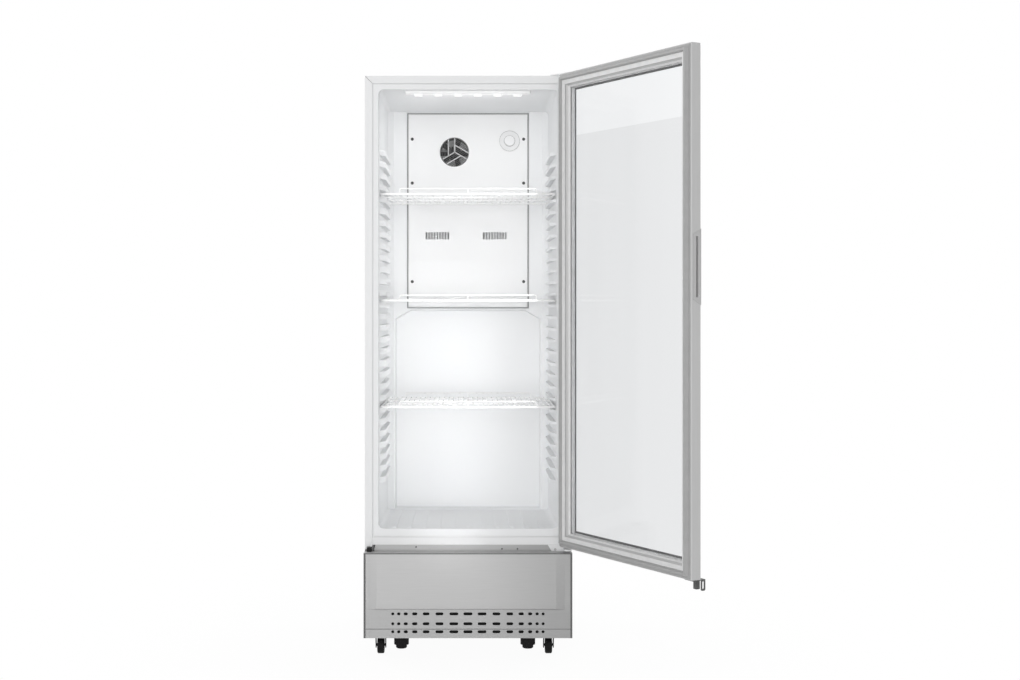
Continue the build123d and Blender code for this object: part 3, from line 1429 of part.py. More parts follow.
# Refrigerant lines between compressor, condenser, drier and cabin
line_bend = 12.0
high_line_z = can_top_z - 62.0
low_line_z = drier_z[0] - 18.0
pan_back = drain_depth + 23.0
rear_line_y = depth(pan_back + 7.0)
condenser_end_x = condenser_x[1] + coil_tube_radius
line_paths = (
    ((can_x, depth(can_depth - can_radius), high_line_z), (can_x, depth(drier_d), high_line_z),
     (condenser_end_x, depth(drier_d), high_line_z)),
    ((can_x, depth(can_depth + can_radius), high_line_z), (can_x, rear_line_y, high_line_z),
     (can_x, rear_line_y, cabinet_bottom_z)),
    ((condenser_end_x, depth(drier_d), low_line_z), (drier_x, depth(drier_d), low_line_z),
     (drier_x, depth(drier_d), drier_z[0])),
)
with BuildPart() as refrigerant_lines:
    for path in line_paths:
        with BuildLine() as line:
            FilletPolyline(*path, radius=line_bend)
        with BuildSketch(Plane(line.wires()[0] @ 0, z_dir=line.wires()[0] % 0)):
            Circle(line_radius)
        sweep(path=line.wires()[0])
    with BuildSketch(Plane.XY.offset(drier_z[1])):
        with Locations((drier_x, depth(drier_d))):
            Circle(line_radius)
    extrude(amount=cabinet_bottom_z - drier_z[1])
refrigerant_lines.part.label = "refrigerant_lines"
export_step(refrigerant_lines.part, "parts/refrigerant_lines.step")

# Evaporation tray on the compressor, under the drain pipe
pan_x = (drain_x - 40.0, can_x + 40.0)
pan_d = (pan_back - 148.0, pan_back)
pan_height = 23.0
pan_wall = 2.0
with BuildPart() as evaporation_tray:
    block(*pan_x, depth(pan_d[0]), depth(pan_d[1]), can_top_z, can_top_z + pan_height)
    fillet(evaporation_tray.edges().filter_by(Axis.Z), 8.0)
    block(pan_x[0] + pan_wall, pan_x[1] - pan_wall, depth(pan_d[0] + pan_wall), depth(pan_d[1] - pan_wall),
          can_top_z + pan_wall, can_top_z + pan_height + 1, mode=Mode.SUBTRACT)
evaporation_tray.part.label = "evaporation_tray"
export_step(evaporation_tray.part, "parts/evaporation_tray.step")

# Rear grille over the machine compartment, and the gland for the supply cord
grille_rows = 10
grille_pitch = 19.0
grille_column = 0.45 * body_width
grille_slot = grille_column - 40.0
grille_slot_height = 7.0
gland_x = -half_width + 70.0
gland_z = tray_z + 35.0
gland_bore = 4.2
gland_body = 7.0
gland_flange = 11.0
gland_lip = 3.0
gland_length = 12.0
grille_middle_z = (tray_z + cabinet_bottom_z) / 2 + 14
with BuildPart() as rear_grille:
    block(-half_width + sheet, half_width - sheet, back_y - sheet, back_y, tray_z, cabinet_bottom_z)
    with BuildSketch(Plane.XZ.offset(-back_y)):
        with Locations((0, grille_middle_z)):
            with GridLocations(grille_column, grille_pitch, 2, grille_rows):
                SlotOverall(grille_slot, grille_slot_height)
        with Locations((gland_x, gland_z)):
            Circle(gland_body)
    extrude(amount=sheet, mode=Mode.SUBTRACT)
rear_grille.part.label = "rear_grille"
export_step(rear_grille.part, "parts/rear_grille.step")
with BuildPart() as cord_gland:
    with BuildSketch(Plane.XZ.offset(-back_y)):
        with Locations((gland_x, gland_z)):
            Circle(gland_flange)
    extrude(amount=-gland_lip)
    chamfer(cord_gland.faces().sort_by(Axis.Y)[-1].edges(), 1.5)
    with BuildSketch(Plane.XZ.offset(-back_y)):
        with Locations((gland_x, gland_z)):
            Circle(gland_body)
    extrude(amount=gland_length - gland_lip)
    with BuildSketch(Plane.XZ.offset(-back_y - gland_lip)):
        with Locations((gland_x, gland_z)):
            Circle(gland_bore)
    extrude(amount=gland_length, mode=Mode.SUBTRACT)
cord_gland.part.label = "cord_gland"
export_step(cord_gland.part, "parts/cord_gland.step")
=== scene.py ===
# %% [markdown]
# # A glass-door beverage cooler
#
# The cooler's own model holds every piece at its real size, with its hinges,
# slides and wheels. This lesson dresses that model: it gives every surface its
# finish, adds the fine pieces that a drawing in steel and plastic leaves out,
# and sets up a camera, a floor and soft light. The model is loaded as a frame
# that nothing here may move.

# %% Load the frame
import json
import math

import bmesh
import bpy
from mathutils import Matrix, Vector


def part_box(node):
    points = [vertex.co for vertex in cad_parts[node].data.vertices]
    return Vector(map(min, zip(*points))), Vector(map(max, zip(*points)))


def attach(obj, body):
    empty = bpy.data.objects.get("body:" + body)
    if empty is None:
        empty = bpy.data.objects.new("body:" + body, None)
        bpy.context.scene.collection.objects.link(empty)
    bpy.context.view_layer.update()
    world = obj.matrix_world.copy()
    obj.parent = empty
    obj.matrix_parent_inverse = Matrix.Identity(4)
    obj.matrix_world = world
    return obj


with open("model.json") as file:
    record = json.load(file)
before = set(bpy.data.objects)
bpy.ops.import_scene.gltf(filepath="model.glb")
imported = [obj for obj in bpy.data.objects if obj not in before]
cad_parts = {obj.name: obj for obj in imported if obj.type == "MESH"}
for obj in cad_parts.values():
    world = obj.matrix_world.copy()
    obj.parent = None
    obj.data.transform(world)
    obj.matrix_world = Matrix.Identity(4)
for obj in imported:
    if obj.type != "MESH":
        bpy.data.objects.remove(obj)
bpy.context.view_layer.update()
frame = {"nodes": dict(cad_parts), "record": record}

# %% [markdown]
# ## The camera
#
# The cooler stands square to the lens, and its upright edges stay parallel in
# the picture, so the camera looks level along the depth of the cabinet. The
# horizon and the middle of the cabinet both sit away from the centre of the
# picture. A tilted camera would make the uprights lean, so the lens is shifted
# instead, as on a view camera.

# %% A level camera with a shifted lens
picture_width = 1020
picture_height = 680
focal_pixels = 1450.0
vanishing_point = (467.95, 303.0)
eye_height = 1.029
cabinet_front = -0.275
camera_distance = 4.218

lens = bpy.data.cameras.new("view_lens")
lens.sensor_width = 36.0
lens.lens = focal_pixels * lens.sensor_width / picture_width
lens.shift_x = (picture_width / 2 - vanishing_point[0]) / picture_width
lens.shift_y = (vanishing_point[1] - picture_height / 2) / picture_width
camera = bpy.data.objects.new("camera", lens)
bpy.context.scene.collection.objects.link(camera)
camera.location = (0, cabinet_front - camera_distance, eye_height)
camera.rotation_euler = (math.radians(90), 0, 0)
bpy.context.scene.camera = camera
bpy.context.scene.view_settings.view_transform = "Standard"
print("lens", round(lens.lens, 2), "mm, shift", round(lens.shift_x, 4), round(lens.shift_y, 4))

# %% [markdown]
# ## The floor and the white room
#
# The cooler is shown on plain white. A white floor alone turns grey towards the
# horizon, where the lamps no longer reach it. Here the floor is a real, lit
# surface beside the cooler, so it keeps the shadow of the wheels, and it fades
# into even white further away. The world is soft grey light for the surfaces
# and plain white for the eye, for glass and for gloss.

# %% Helpers for shader nodes
def add_node(material, kind, **values):
    """A new node in the material's tree, with its plain properties set."""
    node = material.node_tree.nodes.new(kind)
    for name, value in values.items():
        setattr(node, name, value)
    return node


def join(material, source, target):
    """A link from one socket to another."""
    material.node_tree.links.new(source, target)


def seen_directly(tree_owner):
    """A value of 1 for rays from the eye, and for those through glass or off gloss."""
    rays = add_node(tree_owner, "ShaderNodeLightPath")
    eye_or_gloss = add_node(tree_owner, "ShaderNodeMath", operation="MAXIMUM")
    any_of_three = add_node(tree_owner, "ShaderNodeMath", operation="MAXIMUM")
    join(tree_owner, rays.outputs["Is Camera Ray"], eye_or_gloss.inputs[0])
    join(tree_owner, rays.outputs["Is Glossy Ray"], eye_or_gloss.inputs[1])
    join(tree_owner, eye_or_gloss.outputs[0], any_of_three.inputs[0])
    join(tree_owner, rays.outputs["Is Transmission Ray"], any_of_three.inputs[1])
    return any_of_three.outputs[0]


# %% The world: soft light, white to the eye
sky_light = 0.5
room = bpy.data.worlds.new("white_room")
room.use_nodes = True
bpy.context.scene.world = room
background = room.node_tree.nodes["Background"]
background.inputs["Color"].default_value = (1, 1, 1, 1)
sky_level = add_node(room, "ShaderNodeMix", data_type="FLOAT")
sky_level.inputs["A"].default_value = sky_light
sky_level.inputs["B"].default_value = 1.0
join(room, seen_directly(room), sky_level.inputs["Factor"])
join(room, sky_level.outputs["Result"], background.inputs["Strength"])
print("world light", sky_light)

# %% The floor
floor_reach = 40.0
shadow_reach = 0.3
white_from = 1.3
floor_mesh = bpy.data.meshes.new("floor")
shape = bmesh.new()
bmesh.ops.create_grid(shape, x_segments=1, y_segments=1, size=floor_reach)
shape.to_mesh(floor_mesh)
shape.free()
floor = bpy.data.objects.new("floor", floor_mesh)
bpy.context.scene.collection.objects.link(floor)

floor_paint = bpy.data.materials.new("floor_paint")
floor_paint.use_nodes = True
lit = floor_paint.node_tree.nodes["Principled BSDF"]
lit.inputs["Base Color"].default_value = (0.86, 0.86, 0.86, 1)
lit.inputs["Roughness"].default_value = 0.8
glow = add_node(floor_paint, "ShaderNodeEmission")
glow.inputs["Strength"].default_value = 1.0
place = add_node(floor_paint, "ShaderNodeTexCoord")
spread = add_node(floor_paint, "ShaderNodeVectorMath", operation="LENGTH")
fade = add_node(floor_paint, "ShaderNodeMapRange", interpolation_type="SMOOTHSTEP")
fade.inputs["From Min"].default_value = shadow_reach
fade.inputs["From Max"].default_value = white_from
fade.inputs["To Min"].default_value = 0.95
fade.inputs["To Max"].default_value = 1.0
share = add_node(floor_paint, "ShaderNodeMath", operation="MULTIPLY")
blend = add_node(floor_paint, "ShaderNodeMixShader")
join(floor_paint, place.outputs["Object"], spread.inputs[0])
join(floor_paint, spread.outputs["Value"], fade.inputs["Value"])
join(floor_paint, fade.outputs["Result"], share.inputs[0])
join(floor_paint, seen_directly(floor_paint), share.inputs[1])
join(floor_paint, share.outputs[0], blend.inputs["Fac"])
join(floor_paint, lit.outputs["BSDF"], blend.inputs[1])
join(floor_paint, glow.outputs["Emission"], blend.inputs[2])
join(floor_paint, blend.outputs["Shader"],
     floor_paint.node_tree.nodes["Material Output"].inputs["Surface"])
floor_mesh.materials.append(floor_paint)
print("floor", 2 * floor_reach, "m across")

# %% [markdown]
# Behind the open door stands a pale grey card that glows. It is a little lighter above than below
# and a little darker towards the hinge side, so that the clear glass reads as glass against the
# white room. It is a painted reflection: its lighter upper band stands for light mirrored in the
# upper part of the glass. Only rays that came through glass see it. It is parallel to the door,
# which stands open at 120 degrees, and it ends inside the wall of the cabinet, so that it never
# stands in the cabin.

# %% The card behind the glass
door_hinge = next(joint for joint in frame["record"]["behaviour"]["joints"]
                  if joint["name"] == "door_hinge")
door_swing = math.radians(120)
opened = Matrix.Translation(door_hinge["pos_m"]) @ Matrix.Rotation(door_swing, 4, "Z")
reflection_edge_z = 1.515
card_behind = 0.03
card_from, card_to = -0.8, 0.06
card_level = 1.0
card_height = 1.8
card_mesh = bpy.data.meshes.new("glass_reflection_card")
shape = bmesh.new()
bmesh.ops.create_grid(shape, x_segments=1, y_segments=1, size=0.5)
bmesh.ops.transform(shape, verts=shape.verts, matrix=opened
                    @ Matrix.Translation(((card_from + card_to) / 2, -card_behind, card_level))
                    @ Matrix.Rotation(math.radians(90), 4, "X")
                    @ Matrix.Diagonal((card_to - card_from, card_height, 1, 1)))
shape.to_mesh(card_mesh)
shape.free()
card = bpy.data.objects.new("glass_reflection_card", card_mesh)
bpy.context.scene.collection.objects.link(card)

card_paint = bpy.data.materials.new("card_paint")
card_paint.use_nodes = True
card_nodes = card_paint.node_tree.nodes
card_nodes.remove(card_nodes["Principled BSDF"])
clear = add_node(card_paint, "ShaderNodeBsdfTransparent")
pale = add_node(card_paint, "ShaderNodeEmission")
card_place = add_node(card_paint, "ShaderNodeTexCoord")
split = add_node(card_paint, "ShaderNodeSeparateXYZ")
# painted reflection: the card is lighter above this height
step = add_node(card_paint, "ShaderNodeMath", operation="GREATER_THAN")
step.inputs[1].default_value = reflection_edge_z
# painted shade: the card darkens towards the hinge side of the door
painted_side_shade = add_node(card_paint, "ShaderNodeMapRange")
hinge_side, free_side = 0.29, 0.58
painted_side_shade.inputs["From Min"].default_value = hinge_side
painted_side_shade.inputs["From Max"].default_value = free_side
painted_side_shade.inputs["To Min"].default_value = 0.84
painted_side_shade.inputs["To Max"].default_value = 0.885
lighter = add_node(card_paint, "ShaderNodeMath", operation="MULTIPLY_ADD")
lighter.inputs[1].default_value = 0.1
card_blend = add_node(card_paint, "ShaderNodeMixShader")
card_rays = add_node(card_paint, "ShaderNodeLightPath")
join(card_paint, card_place.outputs["Object"], split.inputs[0])
join(card_paint, split.outputs["X"], painted_side_shade.inputs["Value"])
join(card_paint, split.outputs["Z"], step.inputs[0])
join(card_paint, step.outputs[0], lighter.inputs[0])
join(card_paint, painted_side_shade.outputs["Result"], lighter.inputs[2])
join(card_paint, lighter.outputs[0], pale.inputs["Strength"])
join(card_paint, card_rays.outputs["Is Transmission Ray"], card_blend.inputs["Fac"])
join(card_paint, clear.outputs["BSDF"], card_blend.inputs[1])
join(card_paint, pale.outputs["Emission"], card_blend.inputs[2])
join(card_paint, card_blend.outputs["Shader"],
     card_nodes["Material Output"].inputs["Surface"])
card_mesh.materials.append(card_paint)
print("card edge at", reflection_edge_z, "m")

# %% [markdown]
# ## Soft studio light
#
# A product like this is lit by large soft boxes. The two largest stand in front,
# one of them to the left. A weak one on the right keeps that side a little
# darker. Two more stand high behind the cooler. They do not show in the
# picture, but the sides, the back and the top are white in other views too.

# %% Five soft boxes
def soft_box(name, place, aim, width, height, watts):
    """An area lamp at a place, turned to face a point."""
    lamp = bpy.data.lights.new(name, "AREA")
    lamp.shape = "RECTANGLE"
    lamp.size = width
    lamp.size_y = height
    lamp.energy = watts
    box = bpy.data.objects.new(name, lamp)
    bpy.context.scene.collection.objects.link(box)
    box.location = place
    direction = Vector(aim) - Vector(place)
    box.rotation_euler = direction.to_track_quat("-Z", "Y").to_euler()
    return box


cooler_middle = (0.1, 0, 0.9)
soft_boxes = (
    ("left_box", (-2.6, -3.9, 1.9), 1.8, 2.6, 33),
    ("right_box", (2.6, -3.9, 1.7), 1.8, 2.6, 5),
    ("front_box", (-0.2, -5.4, 1.1), 0.8, 3.0, 53),
    ("rear_left_box", (-3.2, 2.3, 3.2), 1.8, 2.6, 70),
    ("rear_right_box", (3.2, 2.3, 3.2), 1.8, 2.6, 70),
)
for name, place, width, height, watts in soft_boxes:
    soft_box(name, place, cooler_middle, width, height, watts)
print("soft boxes", len(soft_boxes))

# %% [markdown]
# A lit cooler is brighter inside than outside. Its own lamp is a short bar
# under the ceiling, and the photographer's light fills the rest. Very weak
# boxes stand for both. One fills the door opening, and one faces the left wall,
# which the other lamps miss. One stands further off with a narrow beam, and
# leaves an upright glow low on the rear wall. The last lies under the lenses of
# the lamp bar. None of them shows in glass or gloss. Each row gives a lamp's
# place from the middle of the opening, its size, its power and its beam.

# %% Light inside the cabin
liner_low, liner_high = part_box("inner_liner")
cabin_x = (liner_low.x + liner_high.x) / 2
cabin_z = (liner_low.z + liner_high.z) / 2
cabin_lamps = (
    ("cabin_fill", -0.05, -0.05, -0.012, 0.0, 0.38, 1.2, 0.66, 140),
    ("cabin_left_wall", 0.2, -0.27, -0.02, 0.0, 0.06, 1.2, 0.44, 60),
    ("cabin_glow", -0.06, -0.05, -0.8, -0.3, 0.1, 0.8, 0.135, 22),
)
for name, side, aim_side, depth, lift, width, height, watts, beam in cabin_lamps:
    level = cabin_z + lift
    box = soft_box(name, (cabin_x + side, cabinet_front + depth, level),
                   (cabin_x + aim_side, 0.0, level), width, height, watts)
    box.data.spread = math.radians(beam)
    box.visible_glossy = False
    box.visible_transmission = False
lens_place = (cabin_x, cabinet_front + 0.031, 1.634)
rear_wall_place = (cabin_x, 0.2, 1.3)
bar_light = soft_box("bar_light", lens_place, rear_wall_place, 0.33, 0.02, 0.2)
bar_light.visible_glossy = False
bar_light.visible_transmission = False
print("cabin lamps", len(cabin_lamps) + 1)

# %% [markdown]
# ## Finishes
#
# Each finish is one shader with the colour of the real surface, and a fine
# pattern that breaks it up: a hint of mottling in the colour, a change in the
# gloss, and a bump at the scale of the real grain. The patterns read Object
# coordinates, so they are in metres and stay on the piece when it moves.

# %% Helpers for finishes
def finish(name, color, roughness, metallic=0.0, shine=0.5):
    """A material with a colour, a roughness, a metal share and a strength of its shine."""
    material = bpy.data.materials.new(name)
    material.use_nodes = True
    shader = material.node_tree.nodes["Principled BSDF"]
    shader.inputs["Base Color"].default_value = (*color, 1)
    shader.inputs["Roughness"].default_value = roughness
    shader.inputs["Metallic"].default_value = metallic
    shader.inputs["Specular IOR Level"].default_value = shine
    return material


def shader_of(material):
    return material.node_tree.nodes["Principled BSDF"]


def pattern(material, scale, detail=3.0, stretch=(1, 1, 1)):
    """Noise with a scale in features per metre, longer along the axes with a small stretch."""
    place = add_node(material, "ShaderNodeTexCoord")
    sized = add_node(material, "ShaderNodeMapping")
    sized.inputs["Scale"].default_value = stretch
    noise = add_node(material, "ShaderNodeTexNoise")
    noise.inputs["Scale"].default_value = scale
    noise.inputs["Detail"].default_value = detail
    join(material, place.outputs["Object"], sized.inputs["Vector"])
    join(material, sized.outputs["Vector"], noise.inputs["Vector"])
    return noise.outputs["Fac"]


def mottle(material, source, dark, light, low=0.3, high=0.7):
    """The colour runs from dark to light with the pattern."""
    ramp = add_node(material, "ShaderNodeValToRGB")
    ramp.color_ramp.elements[0].position = low
    ramp.color_ramp.elements[0].color = (*dark, 1)
    ramp.color_ramp.elements[1].position = high
    ramp.color_ramp.elements[1].color = (*light, 1)
    join(material, source, ramp.inputs["Fac"])
    join(material, ramp.outputs["Color"], shader_of(material).inputs["Base Color"])


def gloss_between(material, source, low, high):
    """The roughness runs from low to high with the pattern."""
    span = add_node(material, "ShaderNodeMapRange")
    span.inputs["From Min"].default_value = 0.3
    span.inputs["From Max"].default_value = 0.7
    span.inputs["To Min"].default_value = low
    span.inputs["To Max"].default_value = high
    join(material, source, span.inputs["Value"])
    join(material, span.outputs["Result"], shader_of(material).inputs["Roughness"])


def grain(material, source, height, strength=1.0):
    """The pattern raises the surface by height, in metres."""
    bump = add_node(material, "ShaderNodeBump")
    bump.inputs["Distance"].default_value = height
    bump.inputs["Strength"].default_value = strength
    join(material, source, bump.inputs["Height"])
    join(material, bump.outputs["Normal"], shader_of(material).inputs["Normal"])


def grey(level, tint=0.0):
    """A grey, a little cooler as tint rises."""
    return (level - tint, level, level + tint)


def dress(slots, material, nodes=()):
    """Gives a finish to the nodes of the named slots, or to the named nodes, and says how many."""
    count = 0
    for part in frame["record"]["subparts"]:
        if part["material_slot"] in slots or part["node"] in nodes:
            mesh = frame["nodes"][part["node"]].data
            mesh.materials.clear()
            mesh.materials.append(material)
            count += 1
    print(material.name, "on", count, "nodes")


# %% [markdown]
# The cabinet is steel with a baked white powder coat. It has the faint skin of
# an orange, about two bumps to the centimetre, which shows only in reflections.

# %% White enamel
enamel = finish("white_enamel", grey(0.85, 0.005), 0.42)
orange_skin = pattern(enamel, 220, 2.0)
mottle(enamel, pattern(enamel, 2, 1.0), grey(0.843, 0.006), grey(0.857, 0.005))
gloss_between(enamel, orange_skin, 0.38, 0.46)
grain(enamel, orange_skin, 0.00004)
dress({"cabinet_white", "bracket_white"}, enamel)

# %% [markdown]
# The liner is a white plastic sheet drawn into a mould while it is hot. Its
# face is satin, and it takes a very fine grain from the mould. The evaporator's
# cover and the thermostat's dial are whiter mouldings with a smoother skin.

# %% Moulded liner, cover and dial
liner = finish("moulded_liner", grey(0.86, 0.007), 0.44)
mould_grain = pattern(liner, 1100, 2.0)
mottle(liner, pattern(liner, 3, 1.0), grey(0.853, 0.008), grey(0.867, 0.006))
gloss_between(liner, mould_grain, 0.4, 0.48)
grain(liner, mould_grain, 0.00002)
dress({"liner_white"}, liner)

cover_plastic = finish("cover_plastic", grey(0.885, 0.002), 0.4)
cover_skin = pattern(cover_plastic, 900, 2.0)
mottle(cover_plastic, pattern(cover_plastic, 4, 1.0), grey(0.879, 0.002), grey(0.891, 0.002))
gloss_between(cover_plastic, cover_skin, 0.36, 0.44)
grain(cover_plastic, cover_skin, 0.00002)
dress({"cover_white"}, cover_plastic)

dial_plastic = finish("dial_plastic", grey(0.84, 0.002), 0.42)
dial_skin = pattern(dial_plastic, 900, 2.0)
mottle(dial_plastic, dial_skin, grey(0.825, 0.002), grey(0.855, 0.002))
grain(dial_plastic, dial_skin, 0.00002)
dress((), dial_plastic, {"thermostat_body"})

# %% [markdown]
# The shelves are steel wire dipped in white plastic, so they are smooth and a
# little glossy, with thicker drops here and there.

# %% Dipped wire
dipped_wire = finish("dipped_wire", grey(0.88), 0.32)
drops = pattern(dipped_wire, 120, 1.0)
mottle(dipped_wire, drops, grey(0.87), grey(0.89))
gloss_between(dipped_wire, drops, 0.26, 0.38)
grain(dipped_wire, drops, 0.0001, 0.4)
dress({"wire_white"}, dipped_wire)

# %% [markdown]
# The kick plate and the bar above it are steel with a silver-grey coat. The flakes in that coat
# lie along the rolling direction, so the grain is drawn out from side to side. Its colour is
# darkened towards the right and towards the floor: painted shade, standing for the darker part of
# the room that the plate mirrors there. The door frame has a similar coat with its grain drawn
# upwards, and the grip is plain grey plastic.

# %% Silver coats
def painted_shade_along(material, axis, start, end, share):
    """Painted shade: the colour fades to a share of itself between two places along an axis."""
    base = shader_of(material).inputs["Base Color"]
    color = base.links[0].from_socket
    place = add_node(material, "ShaderNodeTexCoord")
    split = add_node(material, "ShaderNodeSeparateXYZ")
    fade = add_node(material, "ShaderNodeMapRange", interpolation_type="SMOOTHSTEP")
    fade.inputs["From Min"].default_value = start
    fade.inputs["From Max"].default_value = end
    fade.inputs["To Min"].default_value = 1.0
    fade.inputs["To Max"].default_value = share
    scaled = add_node(material, "ShaderNodeVectorMath", operation="SCALE")
    join(material, place.outputs["Object"], split.inputs[0])
    join(material, split.outputs[axis], fade.inputs["Value"])
    join(material, color, scaled.inputs[0])
    join(material, fade.outputs["Result"], scaled.inputs["Scale"])
    join(material, scaled.outputs[0], base)


silver_steel = finish("silver_steel", grey(0.48), 0.44, 0.25)
rolled = pattern(silver_steel, 500, 4.0, (0.03, 1, 1))
mottle(silver_steel, rolled, grey(0.465), grey(0.495))
# painted shade: darker towards the right, and darker towards the floor below
painted_shade_along(silver_steel, "X", 0.0, 0.3, 0.78)
painted_shade_along(silver_steel, "Z", 0.17, 0.13, 0.93)
gloss_between(silver_steel, rolled, 0.4, 0.5)
grain(silver_steel, rolled, 0.00002)
dress({"kick_grey"}, silver_steel)

door_silver = finish("door_silver", grey(0.54), 0.46, 0.15)
drawn = pattern(door_silver, 400, 3.0, (1, 1, 0.02))
mottle(door_silver, drawn, grey(0.53), grey(0.555))
gloss_between(door_silver, drawn, 0.42, 0.5)
grain(door_silver, drawn, 0.00002)
dress({"door_grey"}, door_silver)

grip_plastic = finish("grip_plastic", grey(0.5), 0.42)
grip_skin = pattern(grip_plastic, 1200, 2.0)
mottle(grip_plastic, grip_skin, grey(0.48), grey(0.52))
grain(grip_plastic, grip_skin, 0.00004)
dress({"grey_plastic"}, grip_plastic)

# %% [markdown]
# The seal round the door is grey vinyl, soft and without gloss. It has a dull bloom, which a slow
# cloudy pattern gives. A lighter vinyl beside it is painted light: the lit flank beside the seal's
# crest, and a painted highlight on the bead that holds the glass.

# %% Door seal
gasket_rubber = finish("gasket_rubber", grey(0.38), 0.55)
rubber_bloom = pattern(gasket_rubber, 40, 4.0)
mottle(gasket_rubber, rubber_bloom, grey(0.365), grey(0.4))
gloss_between(gasket_rubber, rubber_bloom, 0.48, 0.62)
grain(gasket_rubber, pattern(gasket_rubber, 900, 2.0), 0.00005)
dress({"gasket_grey"}, gasket_rubber)

# painted light: a lighter copy of the seal's vinyl, for a lit flank and a highlight
painted_light_vinyl = finish("painted_light_vinyl", grey(0.74), 0.5)
painted_light_mottle = pattern(painted_light_vinyl, 60, 4.0)
mottle(painted_light_vinyl, painted_light_mottle, grey(0.71), grey(0.77))
grain(painted_light_vinyl, pattern(painted_light_vinyl, 900, 2.0), 0.00004)
print(painted_light_vinyl.name, "for the new pieces")

# %% [markdown]
# The dark pieces differ in gloss more than in colour. Moulded trims are satin, steel under black
# enamel shines a little more, and rubber hardly shines at all. The fan guard and the bushes are
# dark greys, and so is the painted shade in the seams.

# %% Dark trims and plastics
trim_plastic = finish("trim_plastic", grey(0.11), 0.45)
trim_skin = pattern(trim_plastic, 800, 2.0)
mottle(trim_plastic, trim_skin, grey(0.1), grey(0.125))
grain(trim_plastic, trim_skin, 0.00004)
dress({"trim_dark"}, trim_plastic)

black_plastic = finish("black_plastic", grey(0.03), 0.5, shine=0.3)
black_skin = pattern(black_plastic, 900, 2.0)
mottle(black_plastic, black_skin, grey(0.024), grey(0.038))
grain(black_plastic, black_skin, 0.00005)
dress({"dark_plastic", "pan_plastic", "fan_plastic"}, black_plastic)

black_enamel = finish("black_enamel", grey(0.014), 0.5, shine=0.15)
black_peel = pattern(black_enamel, 260, 2.0)
mottle(black_enamel, black_peel, grey(0.011), grey(0.018))
gloss_between(black_enamel, black_peel, 0.46, 0.58)
grain(black_enamel, black_peel, 0.00006)
dress({"black_steel", "compressor_black"}, black_enamel)

wheel_rubber = finish("wheel_rubber", grey(0.01), 0.6, shine=0.12)
rubber_dust = pattern(wheel_rubber, 90, 4.0)
mottle(wheel_rubber, rubber_dust, grey(0.007), grey(0.014))
gloss_between(wheel_rubber, rubber_dust, 0.52, 0.7)
grain(wheel_rubber, pattern(wheel_rubber, 1200, 2.0), 0.00006)
dress({"wheel_black", "rubber_black"}, wheel_rubber)

guard_plastic = finish("guard_plastic", grey(0.16), 0.5)
guard_skin = pattern(guard_plastic, 900, 2.0)
mottle(guard_plastic, guard_skin, grey(0.14), grey(0.18))
grain(guard_plastic, guard_skin, 0.00003)
dress((), guard_plastic, {"fan_guard"})

# painted shade for the seams
seam_shade = finish("seam_painted_shade", grey(0.26), 0.6)
seam_shade_mottle = pattern(seam_shade, 300, 3.0)
mottle(seam_shade, seam_shade_mottle, grey(0.23), grey(0.29))
grain(seam_shade, seam_shade_mottle, 0.00004)

bush_plastic = finish("bush_plastic", grey(0.36), 0.45)
bush_skin = pattern(bush_plastic, 900, 2.0)
mottle(bush_plastic, bush_skin, grey(0.34), grey(0.38))
grain(bush_plastic, bush_skin, 0.00003)
dress((), bush_plastic, {"door_bushes"})

# %% [markdown]
# The trays and wheel plates are zinc-dipped steel, whose surface freezes in
# crystals about a centimetre wide. A cell pattern gives each crystal its own
# grey and gloss. The screws in the cabin are blackened, the others plated.

# %% Bare metals
zinc = finish("zinc_steel", grey(0.55), 0.38, 0.9)
spangle = add_node(zinc, "ShaderNodeTexVoronoi")
spangle.inputs["Scale"].default_value = 110
zinc_place = add_node(zinc, "ShaderNodeTexCoord")
join(zinc, zinc_place.outputs["Object"], spangle.inputs["Vector"])
spangle_grey = add_node(zinc, "ShaderNodeRGBToBW")
join(zinc, spangle.outputs["Color"], spangle_grey.inputs["Color"])
mottle(zinc, spangle_grey.outputs["Val"], grey(0.5), grey(0.6, 0.01), 0.1, 0.9)
gloss_between(zinc, spangle_grey.outputs["Val"], 0.3, 0.46)
dress({"zinc_steel"}, zinc)

plated = finish("plated_steel", grey(0.42), 0.36, 0.9)
plating = pattern(plated, 300, 3.0)
mottle(plated, plating, grey(0.38), grey(0.46))
gloss_between(plated, plating, 0.3, 0.44)
dress({"screw_steel"}, plated)

black_screw = finish("blackened_steel", grey(0.05), 0.5, 0.3)
screw_soot = pattern(black_screw, 700, 3.0)
mottle(black_screw, screw_soot, grey(0.04), grey(0.065))
gloss_between(black_screw, screw_soot, 0.44, 0.58)
dress((), black_screw, {"cover_screws"})

hasp_steel = finish("hasp_steel", grey(0.1), 0.5, 0.2)
hasp_plating = pattern(hasp_steel, 400, 3.0)
mottle(hasp_steel, hasp_plating, grey(0.085), grey(0.12))
gloss_between(hasp_steel, hasp_plating, 0.42, 0.56)
dress((), hasp_steel, {"door_hasp"})

bare_aluminium = finish("bare_aluminium", grey(0.5, 0.004), 0.42, 0.9)
mill_marks = pattern(bare_aluminium, 600, 3.0, (1, 1, 0.05))
mottle(bare_aluminium, mill_marks, grey(0.46, 0.004), grey(0.54, 0.004))
gloss_between(bare_aluminium, mill_marks, 0.36, 0.5)
dress({"coil_aluminium"}, bare_aluminium)

copper = finish("bare_copper", (0.72, 0.36, 0.22), 0.3, 1.0)
tarnish = pattern(copper, 45, 5.0)
mottle(copper, tarnish, (0.5, 0.22, 0.13), (0.76, 0.4, 0.26))
gloss_between(copper, tarnish, 0.25, 0.5)
dress({"copper"}, copper)

foam = finish("rigid_foam", (0.82, 0.72, 0.45), 0.9)
cells = pattern(foam, 700, 4.0)
mottle(foam, cells, (0.75, 0.64, 0.38), (0.86, 0.77, 0.52))
grain(foam, cells, 0.0004)
dress({"foam"}, foam)

# %% [markdown]
# The door has two panes of clear float glass on a grey spacer frame. Real glass
# takes a little light at each pane and mirrors a little at each face. A coat
# against fog makes these mirror images weak, so the index is set low, and the
# tint stays faint.

